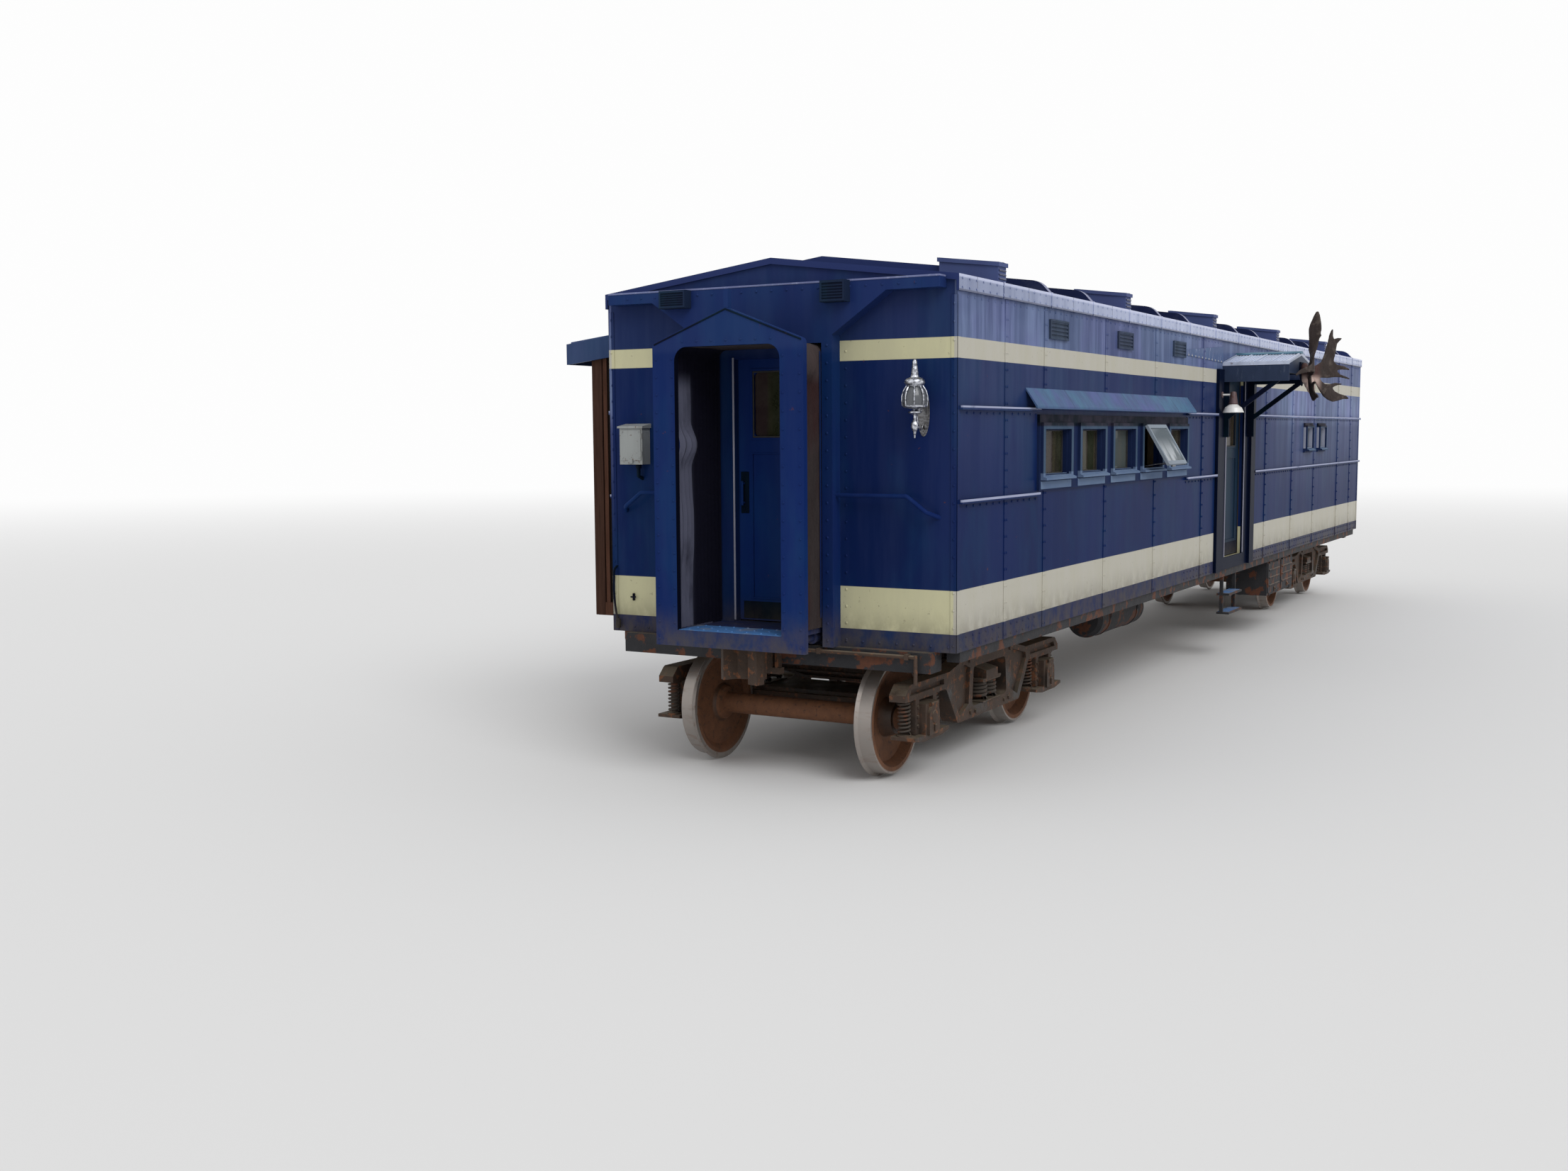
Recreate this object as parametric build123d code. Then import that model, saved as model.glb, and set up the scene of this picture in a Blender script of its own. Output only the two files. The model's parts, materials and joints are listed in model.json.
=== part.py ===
from build123d import *
import math
import os

# Guest caboose converted from a fifty-foot steel sleeping car: hollow body with a low peaked
# roof, flat ends with gangways, a door on each side and at each end, on two four-wheel trucks.
# Frame: X to the right of the car, Y towards the rear, Z up, in millimetres.
# The origin lies on top of the rails under the middle of the body.

os.makedirs("parts", exist_ok=True)

# Body shell
body_length = 15600
body_width = 2920
wall = 110
floor_top = 1120
floor_depth = 60
sill_bottom = 986
eave = 3600
ridge = 3790
roof_depth = 45
roof_overhang = 20
roof_lip = 115
half_length = body_length / 2
half_width = body_width / 2
inner_x = half_width - wall
inner_y = half_length - wall
floor_bottom = floor_top - floor_depth
roof_slope = (ridge - eave) / half_width

# Roof seams and ventilators
seam_first = 800
seam_pitch = 1000
seam_count = 15
seam_width = 70
seam_height = 85
seam_end_x = 1470
seam_shoulder_x = 1385
ventilator_every = 3
ventilator_inner_x = 1000
ventilator_outer_x = 1462
ventilator_width = 180
ventilator_height = 140

# Doorways: clear opening, height of its head below the eave, and the stop that the leaf shuts on
end_door_width = 700
end_door_head = 510
side_door_width = 860
side_door_head = 480
door_gap = 9
door_stop_width = 20
door_stop_depth = 55
leaf_thickness = 45
leaf_recess = 6
hinge_offset = 11
hinge_radius = 9

# Windows, placed from the front end wall, heights below the eave
group_first = 1920
group_pitch = 865
group_count = 5
group_width = 620
group_top = 1045
group_bottom = 1430
group_open_light = 3
small_centres = (11750, 12620)
small_width = 430
small_top = 1030
small_bottom = 1330
glass_thickness = 8
glass_inset = 40
trim_depth = 22
trim_border = 45
sash_border = 50
sash_proud = 24
sill_reach = 28
sash_tilt = 30
sash_rail = 36
sash_depth = 26
hinge_lug = 22
hood_drop = 745
hood_reach = 95
hood_height = 155

# Belt rails and side posts, heights below the eave
belt_heights = (923, 1573)
belt_depth = 35
belt_height = 28
seam_posts = (1718, 3215, 6400, 9300, 10800, 13885)
group_span = (1550, 5760)
doorway_span = (6950, 8650)

# End posts, gangway and bellows
post_inner = 468
post_outer = 553
post_depth = 120
post_base = 986
gusset_reach = 977
gusset_drop = 387
top_plate_reach = 1245
top_plate_drop = 96
plate_reach = 650
plate_depth = 50
plate_half = 615
plate_bottom = 1005
passage_half = 430
passage_head = 467
bellows_half = 462
hood_apex = 205
hood_shoulder = 440

# Awning and antlers
awning_reach = 700
awning_crown = 245
awning_foot = 352
awning_fascia = 203
awning_gable = 120
awning_board = 28
awning_half = 620
awning_seams = 5
antler_turn = 35
antler_root_x = 2220

# Trucks
truck_centre = 6200
wheelbase = 2440
wheel_radius = 419
flange_radius = 447
journal_radius = 64
journal_bore = 66
frame_inner_x = 930
frame_outer_x = 1060
frame_hollow = 32
shoe_clearance = 8
centre_plate_top = 800
bolster_clear = 802

# Underframe and couplers
sill_underside = 905
coupler_height = 876
coupler_face = 8300


def block(x, y, z):
    """A box given by its low and high corner on each axis."""
    middle = ((x[0] + x[1]) / 2, (y[0] + y[1]) / 2, (z[0] + z[1]) / 2)
    return Pos(*middle) * Box(x[1] - x[0], y[1] - y[0], z[1] - z[0])


def prism_along_y(outline, y):
    """An outline of X, Z points carried along Y between two places."""
    edge = Polyline(*[(x, y[0], z) for x, z in outline], close=True)
    return extrude(make_face(edge), amount=y[1] - y[0], dir=(0, 1, 0))


def prism_along_x(outline, x):
    """An outline of Y, Z points carried along X between two places."""
    edge = Polyline(*[(x[0], y, z) for y, z in outline], close=True)
    return extrude(make_face(edge), amount=x[1] - x[0], dir=(1, 0, 0))


def prism_along_z(outline, z):
    """An outline of X, Y points carried along Z between two places."""
    edge = Polyline(*[(x, y, z[0]) for x, y in outline], close=True)
    return extrude(make_face(edge), amount=z[1] - z[0], dir=(0, 0, 1))


def rod(start, end, radius):
    """A round bar between two points."""
    path = Line(start, end)
    return sweep(Plane(origin=start, z_dir=path % 0) * Circle(radius), path=path)


def half_turn(shape):
    """The same shape at the other end and on the other side of the car."""
    return Rot(0, 0, 180) * shape


def from_front(y):
    """A distance from the front end wall as a place on Y."""
    return y - half_length


def roof_top(x):
    return ridge - roof_slope * abs(x)


def roof_under(x):
    return roof_top(x) - roof_depth


def save(node, *shapes):
    """One STEP file per node; several shapes stay separate solids in it."""
    shape = shapes[0] if len(shapes) == 1 else Compound(children=list(shapes))
    export_step(shape, os.path.join("parts", node + ".step"))


def doorway_cut(centre, width, head):
    """Opening through a wall at +X with a narrower stop at its outer side."""
    low, high = centre - width / 2, centre + width / 2
    inner = block((inner_x - 1, half_width - door_stop_depth), (low, high), (floor_top, eave - head))
    outer = block(
        (half_width - door_stop_depth, half_width + 1),
        (low + door_stop_width, high - door_stop_width),
        (floor_top, eave - head - door_stop_width),
    )
    return inner + outer


def light(x, y, width, top, bottom):
    """A window's block through X, centred on Y, with its top and bottom as drops from the eave."""
    return block(x, (y - width / 2, y + width / 2), (eave - bottom, eave - top))


group_centres = [from_front(group_first + i * group_pitch) for i in range(group_count)]
small_places = [from_front(y) for y in small_centres]


def make_side_wall():
    """Right side wall: sheet and lining in one, with its windows and doorway cut."""
    outline = [
        (half_width, sill_bottom),
        (half_width, roof_under(half_width)),
        (inner_x, roof_under(inner_x)),
        (inner_x, floor_bottom),
        (half_width - 20, floor_bottom),
        (half_width - 20, sill_bottom),
    ]
    panel = prism_along_y(outline, (-inner_y, inner_y))
    through = (inner_x - 1, half_width + 1)
    for y in group_centres:
        panel -= light(through, y, group_width, group_top, group_bottom)
    for y in small_places:
        panel -= light(through, y, small_width, small_top, small_bottom)
    return panel - doorway_cut(0, side_door_width, side_door_head)


def make_end_wall():
    """Front end wall with its gable, between the roof and the end sill."""
    outline = [
        (-half_width, sill_bottom),
        (half_width, sill_bottom),
        (half_width, roof_under(half_width)),
        (0, ridge - roof_depth),
        (-half_width, roof_under(half_width)),
    ]
    panel = prism_along_y(outline, (-half_length, -inner_y))
    half = end_door_width / 2
    stop_y = -half_length + door_stop_depth
    panel -= block((-half, half), (stop_y, -inner_y + 1), (floor_top, eave - end_door_head))
    return panel - block(
        (-half + door_stop_width, half - door_stop_width),
        (-half_length - 1, stop_y),
        (floor_top, eave - end_door_head - door_stop_width),
    )


def make_roof():
    """Low peaked roof sheet with a turned-down lip along both eaves."""
    edge_x = half_width + roof_overhang
    lip_z = eave - roof_lip
    outline = [
        (-edge_x, lip_z),
        (-edge_x, roof_top(edge_x)),
        (0, ridge),
        (edge_x, roof_top(edge_x)),
        (edge_x, lip_z),
        (half_width, lip_z),
        (half_width, roof_under(half_width)),
        (0, ridge - roof_depth),
        (-half_width, roof_under(half_width)),
        (-half_width, lip_z),
    ]
    end = half_length + roof_overhang
    return prism_along_y(outline, (-end, end))


def make_seam_cap(y, cut_right, cut_left):
    """One raised seam across the roof, rounded down to nothing at the eaves."""
    end, shoulder = seam_end_x, seam_shoulder_x
    right = [(end, roof_top(end)), (shoulder, roof_top(shoulder) + seam_height), (0, ridge + seam_height)]
    left = [(-x, z) for x, z in reversed(right[:-1])]
    face = make_face(Polyline(*[(x, 0, z) for x, z in right + left + [(0, ridge)]], close=True))
    face = fillet(face.vertices().filter_by(lambda v: abs(abs(v.X) - shoulder) < 1), 160)
    cap = Pos(0, y - seam_width / 2, 0) * extrude(face, amount=seam_width, dir=(0, 1, 0))
    for side, cut in ((1, cut_right), (-1, cut_left)):
        if cut:
            space = sorted((side * (ventilator_inner_x - 5), side * (end + 5)))
            cap -= block(space, (y - 100, y + 100), (eave - 10, ridge + 200))
    return cap.solids()


def make_ventilator(y):
    """Box ventilator that follows the slope of the roof, with an overhanging lid."""
    x0, x1 = ventilator_inner_x, ventilator_outer_x
    rise = ventilator_height
    body = [(x0, roof_top(x0)), (x1, roof_top(x1)), (x1, roof_top(x1) + rise), (x0, roof_top(x0) + rise)]
    half = ventilator_width / 2
    box = prism_along_y(body, (y - half + 12, y + half - 12))
    lid = [
        (x0 - 12, roof_top(x0) + rise - 30),
        (x1 + 12, roof_top(x1) + rise - 30),
        (x1 + 12, roof_top(x1) + rise),
        (x0 - 12, roof_top(x0) + rise),
    ]
    return box + prism_along_y(lid, (y - half, y + half))


def make_end_posts():
    """Collision posts with flared gussets up to the full-width top plate."""
    right = [
        (post_inner, post_base),
        (post_outer, post_base),
        (post_outer, eave - gusset_drop),
        (gusset_reach, eave - top_plate_drop),
        (top_plate_reach, eave - top_plate_drop),
        (top_plate_reach, eave - 20),
    ]
    left = [(-x, z) for x, z in reversed(right)]
    inner = [(-post_inner, eave - hood_shoulder), (post_inner, eave - hood_shoulder)]
    return prism_along_y(right + left + inner, (-half_length - post_depth, -half_length))


def gangway_corners(half, apex, shoulder, bottom):
    """The gangway's upright outline with its low peaked head, on the plane Y 0."""
    outline = [(-half, bottom), (half, bottom), (half, eave - shoulder), (0, eave - apex)]
    return [(x, 0, z) for x, z in outline + [(-half, eave - shoulder)]]


def make_gangway_frame():
    """Face plate round the passage, with its tread plate, hood hook and the buffer stems behind it."""
    front = -half_length - plate_reach
    back = front + plate_depth
    corners = gangway_corners(plate_half, hood_apex, hood_shoulder, plate_bottom)
    face = make_face(Polyline(*corners, close=True))
    face = fillet(face.vertices().filter_by(lambda v: v.Z > sill_bottom + 100), 40)
    plate = Pos(0, front, 0) * extrude(face, amount=plate_depth, dir=(0, 1, 0))
    passage = block((-passage_half, passage_half), (front - 1, back + 1), (floor_top, eave - passage_head))
    passage = fillet(passage.edges().filter_by(Axis.Y).group_by(Axis.Z)[-1], 100)
    frame = plate - passage + block((-passage_half, passage_half), (back, -half_length), (1085, floor_top))
    frame += block((-18, 18), (front + 5, back), (eave - hood_apex - 20, eave - 80))
    for x in (-360, 360):
        frame += rod((x, back - 5, 1045), (x, -half_length, 1045), 28)
        frame += rod((x, -half_length - 90, 1045), (x, -half_length, 1045), 48)
    return frame


def make_bellows():
    """Bellows between the face plate and the end wall, as one plain arch that fits between the posts."""
    front = -half_length - plate_reach + plate_depth
    back = -half_length
    outer = block((-bellows_half, bellows_half), (front, back), (floor_top + 5, eave - hood_shoulder - 6))
    inner = passage_half + 8
    return outer - block((-inner, inner), (front - 1, back + 1), (floor_top, eave - passage_head + 5))


def make_pull():
    """Vertical pull handle on the face at Y 0, looking towards the front."""
    bar = rod((0, -36, -90), (0, -36, 90), 9)
    for z in (-72, 72):
        bar += rod((0, -36, z), (0, 2, z), 8)
    return bar


def hinge(z):
    """One hinge of the front end door: knuckle on the axis and its strap on the leaf."""
    axis_x, axis_y = end_door_width / 2 - door_gap, -inner_y + hinge_offset
    leaf_face = -half_length + door_stop_depth + leaf_recess + leaf_thickness
    knuckle = rod((axis_x, axis_y, z - 55), (axis_x, axis_y, z + 55), hinge_radius)
    return knuckle + block((axis_x - 70, axis_x - 2), (leaf_face, axis_y), (z - 45, z + 45))


def make_end_door():
    """Leaf of the front end door, hinged on its right, with its window and a sunk lower panel."""
    half = end_door_width / 2 - door_gap
    outer_y = -half_length + door_stop_depth + leaf_recess
    inner_face = outer_y + leaf_thickness
    leaf = block((-half, half), (outer_y, inner_face), (floor_top + 8, eave - end_door_head - door_gap))
    window = block((-200, 200), (outer_y - 1, inner_face + 1), (eave - 1100, eave - 626))
    leaf -= fillet(window.edges().filter_by(Axis.Y), 40)
    for face_y in (outer_y, inner_face):
        leaf -= block((-210, 210), (face_y - 7, face_y + 7), (floor_top + 180, eave - 1230))
    leaf += Pos(-285, outer_y, 2080) * make_pull()
    leaf += Pos(-285, inner_face, 2080) * Rot(0, 0, 180) * make_pull()
    for z in (1400, 2200, 2900):
        leaf += hinge(z)
    glass_y = outer_y + leaf_thickness / 2
    glass = block((-200, 200), (glass_y, glass_y + glass_thickness), (eave - 1100, eave - 626))
    return leaf, fillet(glass.edges().filter_by(Axis.Y), 40)


def make_side_door():
    """Leaf of the right side door, hinged on its rear edge, with its window and a sunk lower panel."""
    half = side_door_width / 2 - door_gap
    outer_x = half_width - door_stop_depth - leaf_recess
    inner_face = outer_x - leaf_thickness
    leaf = block((inner_face, outer_x), (-half, half), (floor_top + 8, eave - side_door_head - door_gap))
    leaf -= block((inner_face - 1, outer_x + 1), (-250, 250), (eave - 1250, eave - 700))
    for face_x in (inner_face, outer_x):
        leaf -= block((face_x - 7, face_x + 7), (-270, 270), (floor_top + 180, eave - 1390))
    leaf += Pos(outer_x, -362, 2080) * Rot(0, 0, 90) * make_pull()
    leaf += Pos(inner_face, -362, 2080) * Rot(0, 0, -90) * make_pull()
    axis_x = inner_x - hinge_offset
    for z in (1400, 2200, 2950):
        leaf += rod((axis_x, half, z - 55), (axis_x, half, z + 55), hinge_radius)
        leaf += block((axis_x, inner_face), (half - 70, half - 2), (z - 45, z + 45))
    glass_x = outer_x - leaf_thickness / 2
    glass = block((glass_x, glass_x + glass_thickness), (-250, 250), (eave - 1250, eave - 700))
    return leaf, glass


def make_window_trim():
    """Trim round the five lights and round each small window, standing off the right side, with sills."""
    x = (half_width, half_width + trim_depth)
    proud = (x[1] - 2, x[1] + sash_proud)
    low, high = [from_front(y) for y in group_span]
    board = block(x, (low, high), (eave - group_bottom - 105, eave - group_top + 100))
    frames = [(board, group_centres, group_width, group_top, group_bottom)]
    for y in small_places:
        width = small_width + 2 * trim_border
        plate = light(x, y, width, small_top - trim_border, small_bottom + trim_border)
        frames.append((plate, [y], small_width, small_top, small_bottom))
    done = []
    for plate, centres, width, top, bottom in frames:
        sill_z = eave - bottom + 12
        nose = proud[1] + sill_reach
        sill = [(proud[0], sill_z), (nose, sill_z - 20), (nose, sill_z - 36), (proud[0], sill_z - 36)]
        for y in centres:
            edge = width / 2 - 12
            outer = edge + (sash_border if width == group_width else trim_border - 20)
            plate += block(proud, (y - outer, y + outer), (sill_z - 36, eave - top + outer - edge - 12))
            plate -= block((x[0] - 1, proud[1] + 1), (y - edge, y + edge), (sill_z, eave - top - 12))
            plate += prism_along_y(sill, (y - outer, y + outer))
        done.append(plate)
    return done


def make_window_glass():
    """Panes of the right side; the open light has its own in the sash."""
    x = (half_width - glass_inset - glass_thickness, half_width - glass_inset)
    panes = []
    for i, y in enumerate(group_centres):
        if i != group_open_light:
            panes.append(light(x, y, group_width, group_top, group_bottom))
    for y in small_places:
        panes.append(light(x, y, small_width, small_top, small_bottom))
    return panes


def make_open_sash():
    """Sash of the open light, hung from its head and swung out at the foot."""
    width, height = group_width - 20, group_bottom - group_top + 35
    frame = block((0, sash_depth), (-width / 2, width / 2), (-height, 0))
    inner = ((-width / 2 + sash_rail, width / 2 - sash_rail), (-height + sash_rail, -sash_rail))
    frame -= block((-1, sash_depth + 1), *inner)
    pane = block((10, 16), *inner)
    trim_face, head = half_width + trim_depth + sash_proud, eave - group_top + 14
    centre = group_centres[group_open_light]
    place = Pos(trim_face + 2, centre, head) * Rot(0, -sash_tilt, 0)
    sash = place * frame
    for y in (centre - width / 3, centre + width / 3):
        sash += block((trim_face, trim_face + 16), (y - hinge_lug, y + hinge_lug), (head - 26, head))
    return sash, place * pane


def make_window_hood():
    """Sloped drip hood over the five lights of the right side."""
    x, top = half_width, eave - hood_drop
    out, low = half_width + hood_reach, eave - hood_drop - hood_height
    outline = [(x, top), (out, low + 18), (out, low), (out - 12, low), (out - 12, low + 12), (x, top - 16)]
    return prism_along_y(outline, (from_front(1300), from_front(5800)))


def make_side_rails():
    """Belt rails and seam posts of the right side, broken at the lights and the doorway."""
    x = (half_width, half_width + belt_depth)
    stretches = ((20, group_span[0]), (group_span[1], doorway_span[0]), (doorway_span[1], body_length - 20))
    pieces = []
    for start, end in stretches:
        y = (from_front(start), from_front(end))
        grid = [block(x, y, (eave - drop, eave - drop + belt_height)) for drop in belt_heights]
        posts = [from_front(post) for post in seam_posts if start < post < end]
        cover, upright = (half_width, half_width + 8), (sill_bottom, eave - roof_lip)
        grid += [block(cover, (p - 30, p + 30), upright) for p in posts]
        pieces += Part() + grid
    pilaster_top = eave - side_door_head + 60
    for y in (-750, 750):
        pieces.append(block((half_width, half_width + 30), (y - 100, y + 100), (sill_bottom, pilaster_top)))
    return pieces


def make_side_vents():
    """Three louvred vents high on the right side."""
    grilles = []
    for y in (2000, 3720, 5460):
        low, high = from_front(y) - 210, from_front(y) + 210
        grille = block((half_width, half_width + 14), (low, high), (eave - 352, eave - 205))
        for i in range(4):
            z = eave - 334 + i * 30
            grille -= block((half_width + 6, half_width + 15), (low + 16, high - 16), (z, z + 16))
        grilles.append(grille)
    return grilles


def make_awning_roof():
    """Small gabled roof over the right side door, with fascia boards, an outer gable and standing seams."""
    reach = half_width + awning_reach
    crown, foot, half = eave - awning_crown, eave - awning_foot, awning_half
    low = foot - awning_fascia
    inner = half - awning_board
    sheet = [(-half, foot), (0, crown), (half, foot), (half, low), (inner, low), (inner, foot - 18)]
    sheet += [(0, crown - 30), (-inner, foot - 18), (-inner, low), (-half, low)]
    roof = prism_along_x(sheet, (half_width, reach))
    gable_foot, edge = foot - awning_gable, half - 20
    gable = [(-edge, foot - 10), (0, crown - 10), (edge, foot - 10), (edge, gable_foot), (-edge, gable_foot)]
    roof += prism_along_x(gable, (reach - awning_board, reach))
    seam = [(-half, foot), (0, crown), (half, foot), (half, foot + 14), (0, crown + 16), (-half, foot + 14)]
    for i in range(awning_seams):
        x = half_width + 8 + i * (awning_reach - awning_board) / (awning_seams - 1)
        roof += prism_along_x(seam, (x, x + 12))
    return roof


def make_awning_brackets():
    """Knee brackets from the side wall to the awning, one at each side of the doorway."""
    brackets = []
    for y in (-592, 562):
        span = (y, y + 30)
        post = block((half_width, half_width + 70), span, (eave - 1150, eave - 480))
        arm = block((half_width, half_width + 640), span, (eave - 548, eave - 480))
        brace = prism_along_y(
            [
                (half_width + 60, eave - 960),
                (half_width + 60, eave - 900),
                (half_width + 540, eave - 540),
                (half_width + 620, eave - 540),
            ],
            span,
        )
        brackets.append(post + arm + brace)
    return brackets


def make_antler(side, tip_z):
    """One broad antler in an upright plane that turns forward: its palm, and the brow points under it."""
    # Columns: distance out along the antler, height above the eave
    palm = [(20, -480), (20, -390), (200, -330), (252, -237), (300, -121), (335, tip_z)]
    palm += [(455, -82), (412, -183), (374, -325), (394, -389), (615, -515), (381, -504), (200, -500)]
    brow = [(20, -480), (160, -480), (240, -600), (330, -650), (597, -720), (600, -745)]
    brow += [(374, -775), (240, -720), (130, -580)]
    turn = math.radians(antler_turn)
    along = (math.sin(turn), side * math.cos(turn), 0)
    plane = Plane(origin=(antler_root_x, 0, eave), x_dir=along, z_dir=(along[1], -along[0], 0))
    faces = [make_face(plane * Polyline(*outline, close=True)) for outline in (palm, brow)]
    return extrude(faces[0], amount=13, both=True) + extrude(faces[1], amount=13, both=True)


def make_antlers():
    """Broad antlers with their skull plate and nose bone, fixed to the awning's outer gable."""
    x = half_width + awning_reach
    shield = [(-110, eave - 420), (-70, eave - 520), (70, eave - 520), (110, eave - 420)]
    shield += [(90, eave - 330), (-90, eave - 330)]
    nose = [(x, eave - 400), (x + 75, eave - 400), (x + 150, eave - 560), (x + 125, eave - 690)]
    nose += [(x + 70, eave - 660), (x, eave - 520)]
    skull = prism_along_x(shield, (x, x + 70)) + prism_along_y(nose, (-48, 48))
    return skull + make_antler(-1, 190) + make_antler(1, 30)


def make_lantern():
    """Wall lantern beside the end door, on a scrolled bracket."""
    x, y = 1210, -half_length - 150
    base = eave - 1120
    # Columns: radius, height above the foot of the lantern
    outline = [(0, 0), (14, 8), (22, 40), (16, 70), (60, 110), (62, 225), (88, 240), (84, 262)]
    outline += [(50, 320), (18, 350), (26, 385), (16, 420), (24, 450), (8, 530), (0, 545)]
    edge = Polyline(*[(r, 0, z) for r, z in outline], close=True)
    body = Pos(x, y, base) * revolve(make_face(edge), axis=Axis.Z)
    plate = block((x - 42, x + 42), (-half_length - 14, -half_length), (base + 20, base + 200))
    return body + plate + block((x - 9, x + 9), (y, -half_length), (base + 118, base + 142))


def make_service_box():
    """Electric service box left of the end door, with a sloped rain cap."""
    x, z = (-1305, -1095), (eave - 1307, eave - 1030)
    box = block(x, (-half_length - 105, -half_length), z)
    lip = -half_length - 120
    cap = [(lip, z[1]), (-half_length, z[1]), (-half_length, z[1] + 34), (lip, z[1] + 14)]
    return box + prism_along_x(cap, (x[0] - 12, x[1] + 12))


def make_awning_lamp():
    """White dome lamp hung from a bracket beside the side doorway."""
    x, y, z = half_width + 150, -730, eave - 885
    outline = [(0, 95), (36, 92), (90, 50), (112, 0), (102, 0), (30, 82), (0, 84)]
    edge = Polyline(*[(r, 0, h) for r, h in outline], close=True)
    dome = Pos(x, y, z) * revolve(make_face(edge), axis=Axis.Z)
    arm = z + 190
    return dome + rod((x, y, z + 90), (x, y, arm), 10) + rod((half_width + 30, y, arm), (x, y, arm), 10)


def make_grab_rail(side):
    """Bent grab rail from the collision post to the corner of the front end."""
    height = eave - 1520
    points = [
        (side * (post_outer - 10), -half_length - 60, height),
        (side * 1120, -half_length - 90, height),
        (side * 1270, -half_length - 90, height - 110),
        (side * 1330, -half_length + 10, height - 150),
    ]
    path = FilletPolyline(*points, radius=45)
    rail = sweep(Plane(origin=points[0], z_dir=path % 0) * Circle(16), path=path)
    return (rail - end_posts - end_wall).solid()


def make_end_lamps():
    """Two small lamp boxes under the top plate of the front end."""
    y = (-half_length - post_depth - 80, -half_length - post_depth)
    return [block((498, 698), y, (eave - 165, eave - 15)), block((-860, -625), y, (eave - 152, eave - 20))]


def make_coupler():
    """Knuckle coupler at the front with its carrier, and the uncoupling lever along the end sill."""
    low, high = coupler_height - 65, coupler_height + 65
    back = -half_length - 80
    shank = block((-65, 65), (-coupler_face + 180, back), (low, high))
    shank += block((-125, 125), (back - 70, back), (low - 45, low))
    for x in (-105, 85):
        shank += block((x, x + 20), (back - 70, back), (low, high + 10))
    head = [(-140, -8170), (-165, -8290), (-120, -8330), (-60, -8235), (40, -8215), (60, -8290)]
    head += [(130, -8260), (135, -8150), (70, -8080), (-70, -8080)]
    body = prism_along_z(head, (coupler_height - 115, coupler_height + 115))
    knuckle = [(62, -8292), (150, -8318), (165, -8240), (100, -8180), (62, -8210)]
    body += prism_along_z(knuckle, (coupler_height - 140, coupler_height + 140))
    lever_y, lever_z = back - 30, 955
    lever = rod((190, lever_y, lever_z), (1200, lever_y, lever_z), 14)
    lever += rod((1200, lever_y, 760), (1200, lever_y, lever_z + 14), 14)
    for x in (420, 1120):
        lever += block((x, x + 30), (lever_y - 20, back), (lever_z - 20, lever_z + 20))
    return shank + body + lever


def bearer_under(x):
    """Underside of the crossbearers, rising from their middle to the side sills."""
    return bolster_clear + (sill_underside - bolster_clear) * (abs(x) - 350) / (1340 - 350)


def make_underframe():
    """Fish-bellied centre sill, side sills, end sills, body bolsters and crossbearers."""
    mid, end_low, top = 560, bolster_clear, floor_bottom
    beam_y = inner_y
    sill = [(-beam_y, top), (beam_y, top), (beam_y, end_low), (4900, end_low), (3400, mid)]
    sill += [(-3400, mid), (-4900, end_low), (-beam_y, end_low)]
    frame = prism_along_x(sill, (-165, 165))
    for side in (-1, 1):
        x = sorted((side * 1340, side * (half_width - 20)))
        frame += block(x, (-inner_y, inner_y), (sill_underside, floor_bottom))
    for y in (-1, 1):
        span = sorted((y * inner_y, y * (half_length + 80)))
        frame += block((-1300, 1300), span, (840, sill_bottom))
    bearer = [(-1340, top), (1340, top), (1340, bearer_under(1340)), (350, end_low), (-350, end_low)]
    bearer += [(-1340, bearer_under(1340))]
    for y in (-truck_centre, truck_centre):
        frame += prism_along_y(bearer, (y - 150, y + 150))
    for y in (-3700, -1900, 0, 1900, 3700):
        frame += prism_along_y(bearer, (y - 45, y + 45))
    return frame


def make_wheelset():
    """Axle with its two flanged wheels, as one turned piece along X."""
    # Columns: place along the axle from its middle, radius
    half = [(0, 80), (640, 80), (655, 124), (700, 150), (708, 330), (680, 368), (680, 430)]
    half += [(692, flange_radius), (714, 424), (813, wheel_radius - 4), (813, 368), (742, 330)]
    half += [(735, 150), (828, 118), (828, 86), (893, journal_radius), (1075, journal_radius), (1075, 0)]
    outline = [(-x, r) for x, r in reversed(half)] + half[1:]
    edge = Polyline(*[(x, 0, r) for x, r in outline], close=True)
    return revolve(make_face(edge), axis=Axis.X)


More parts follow.
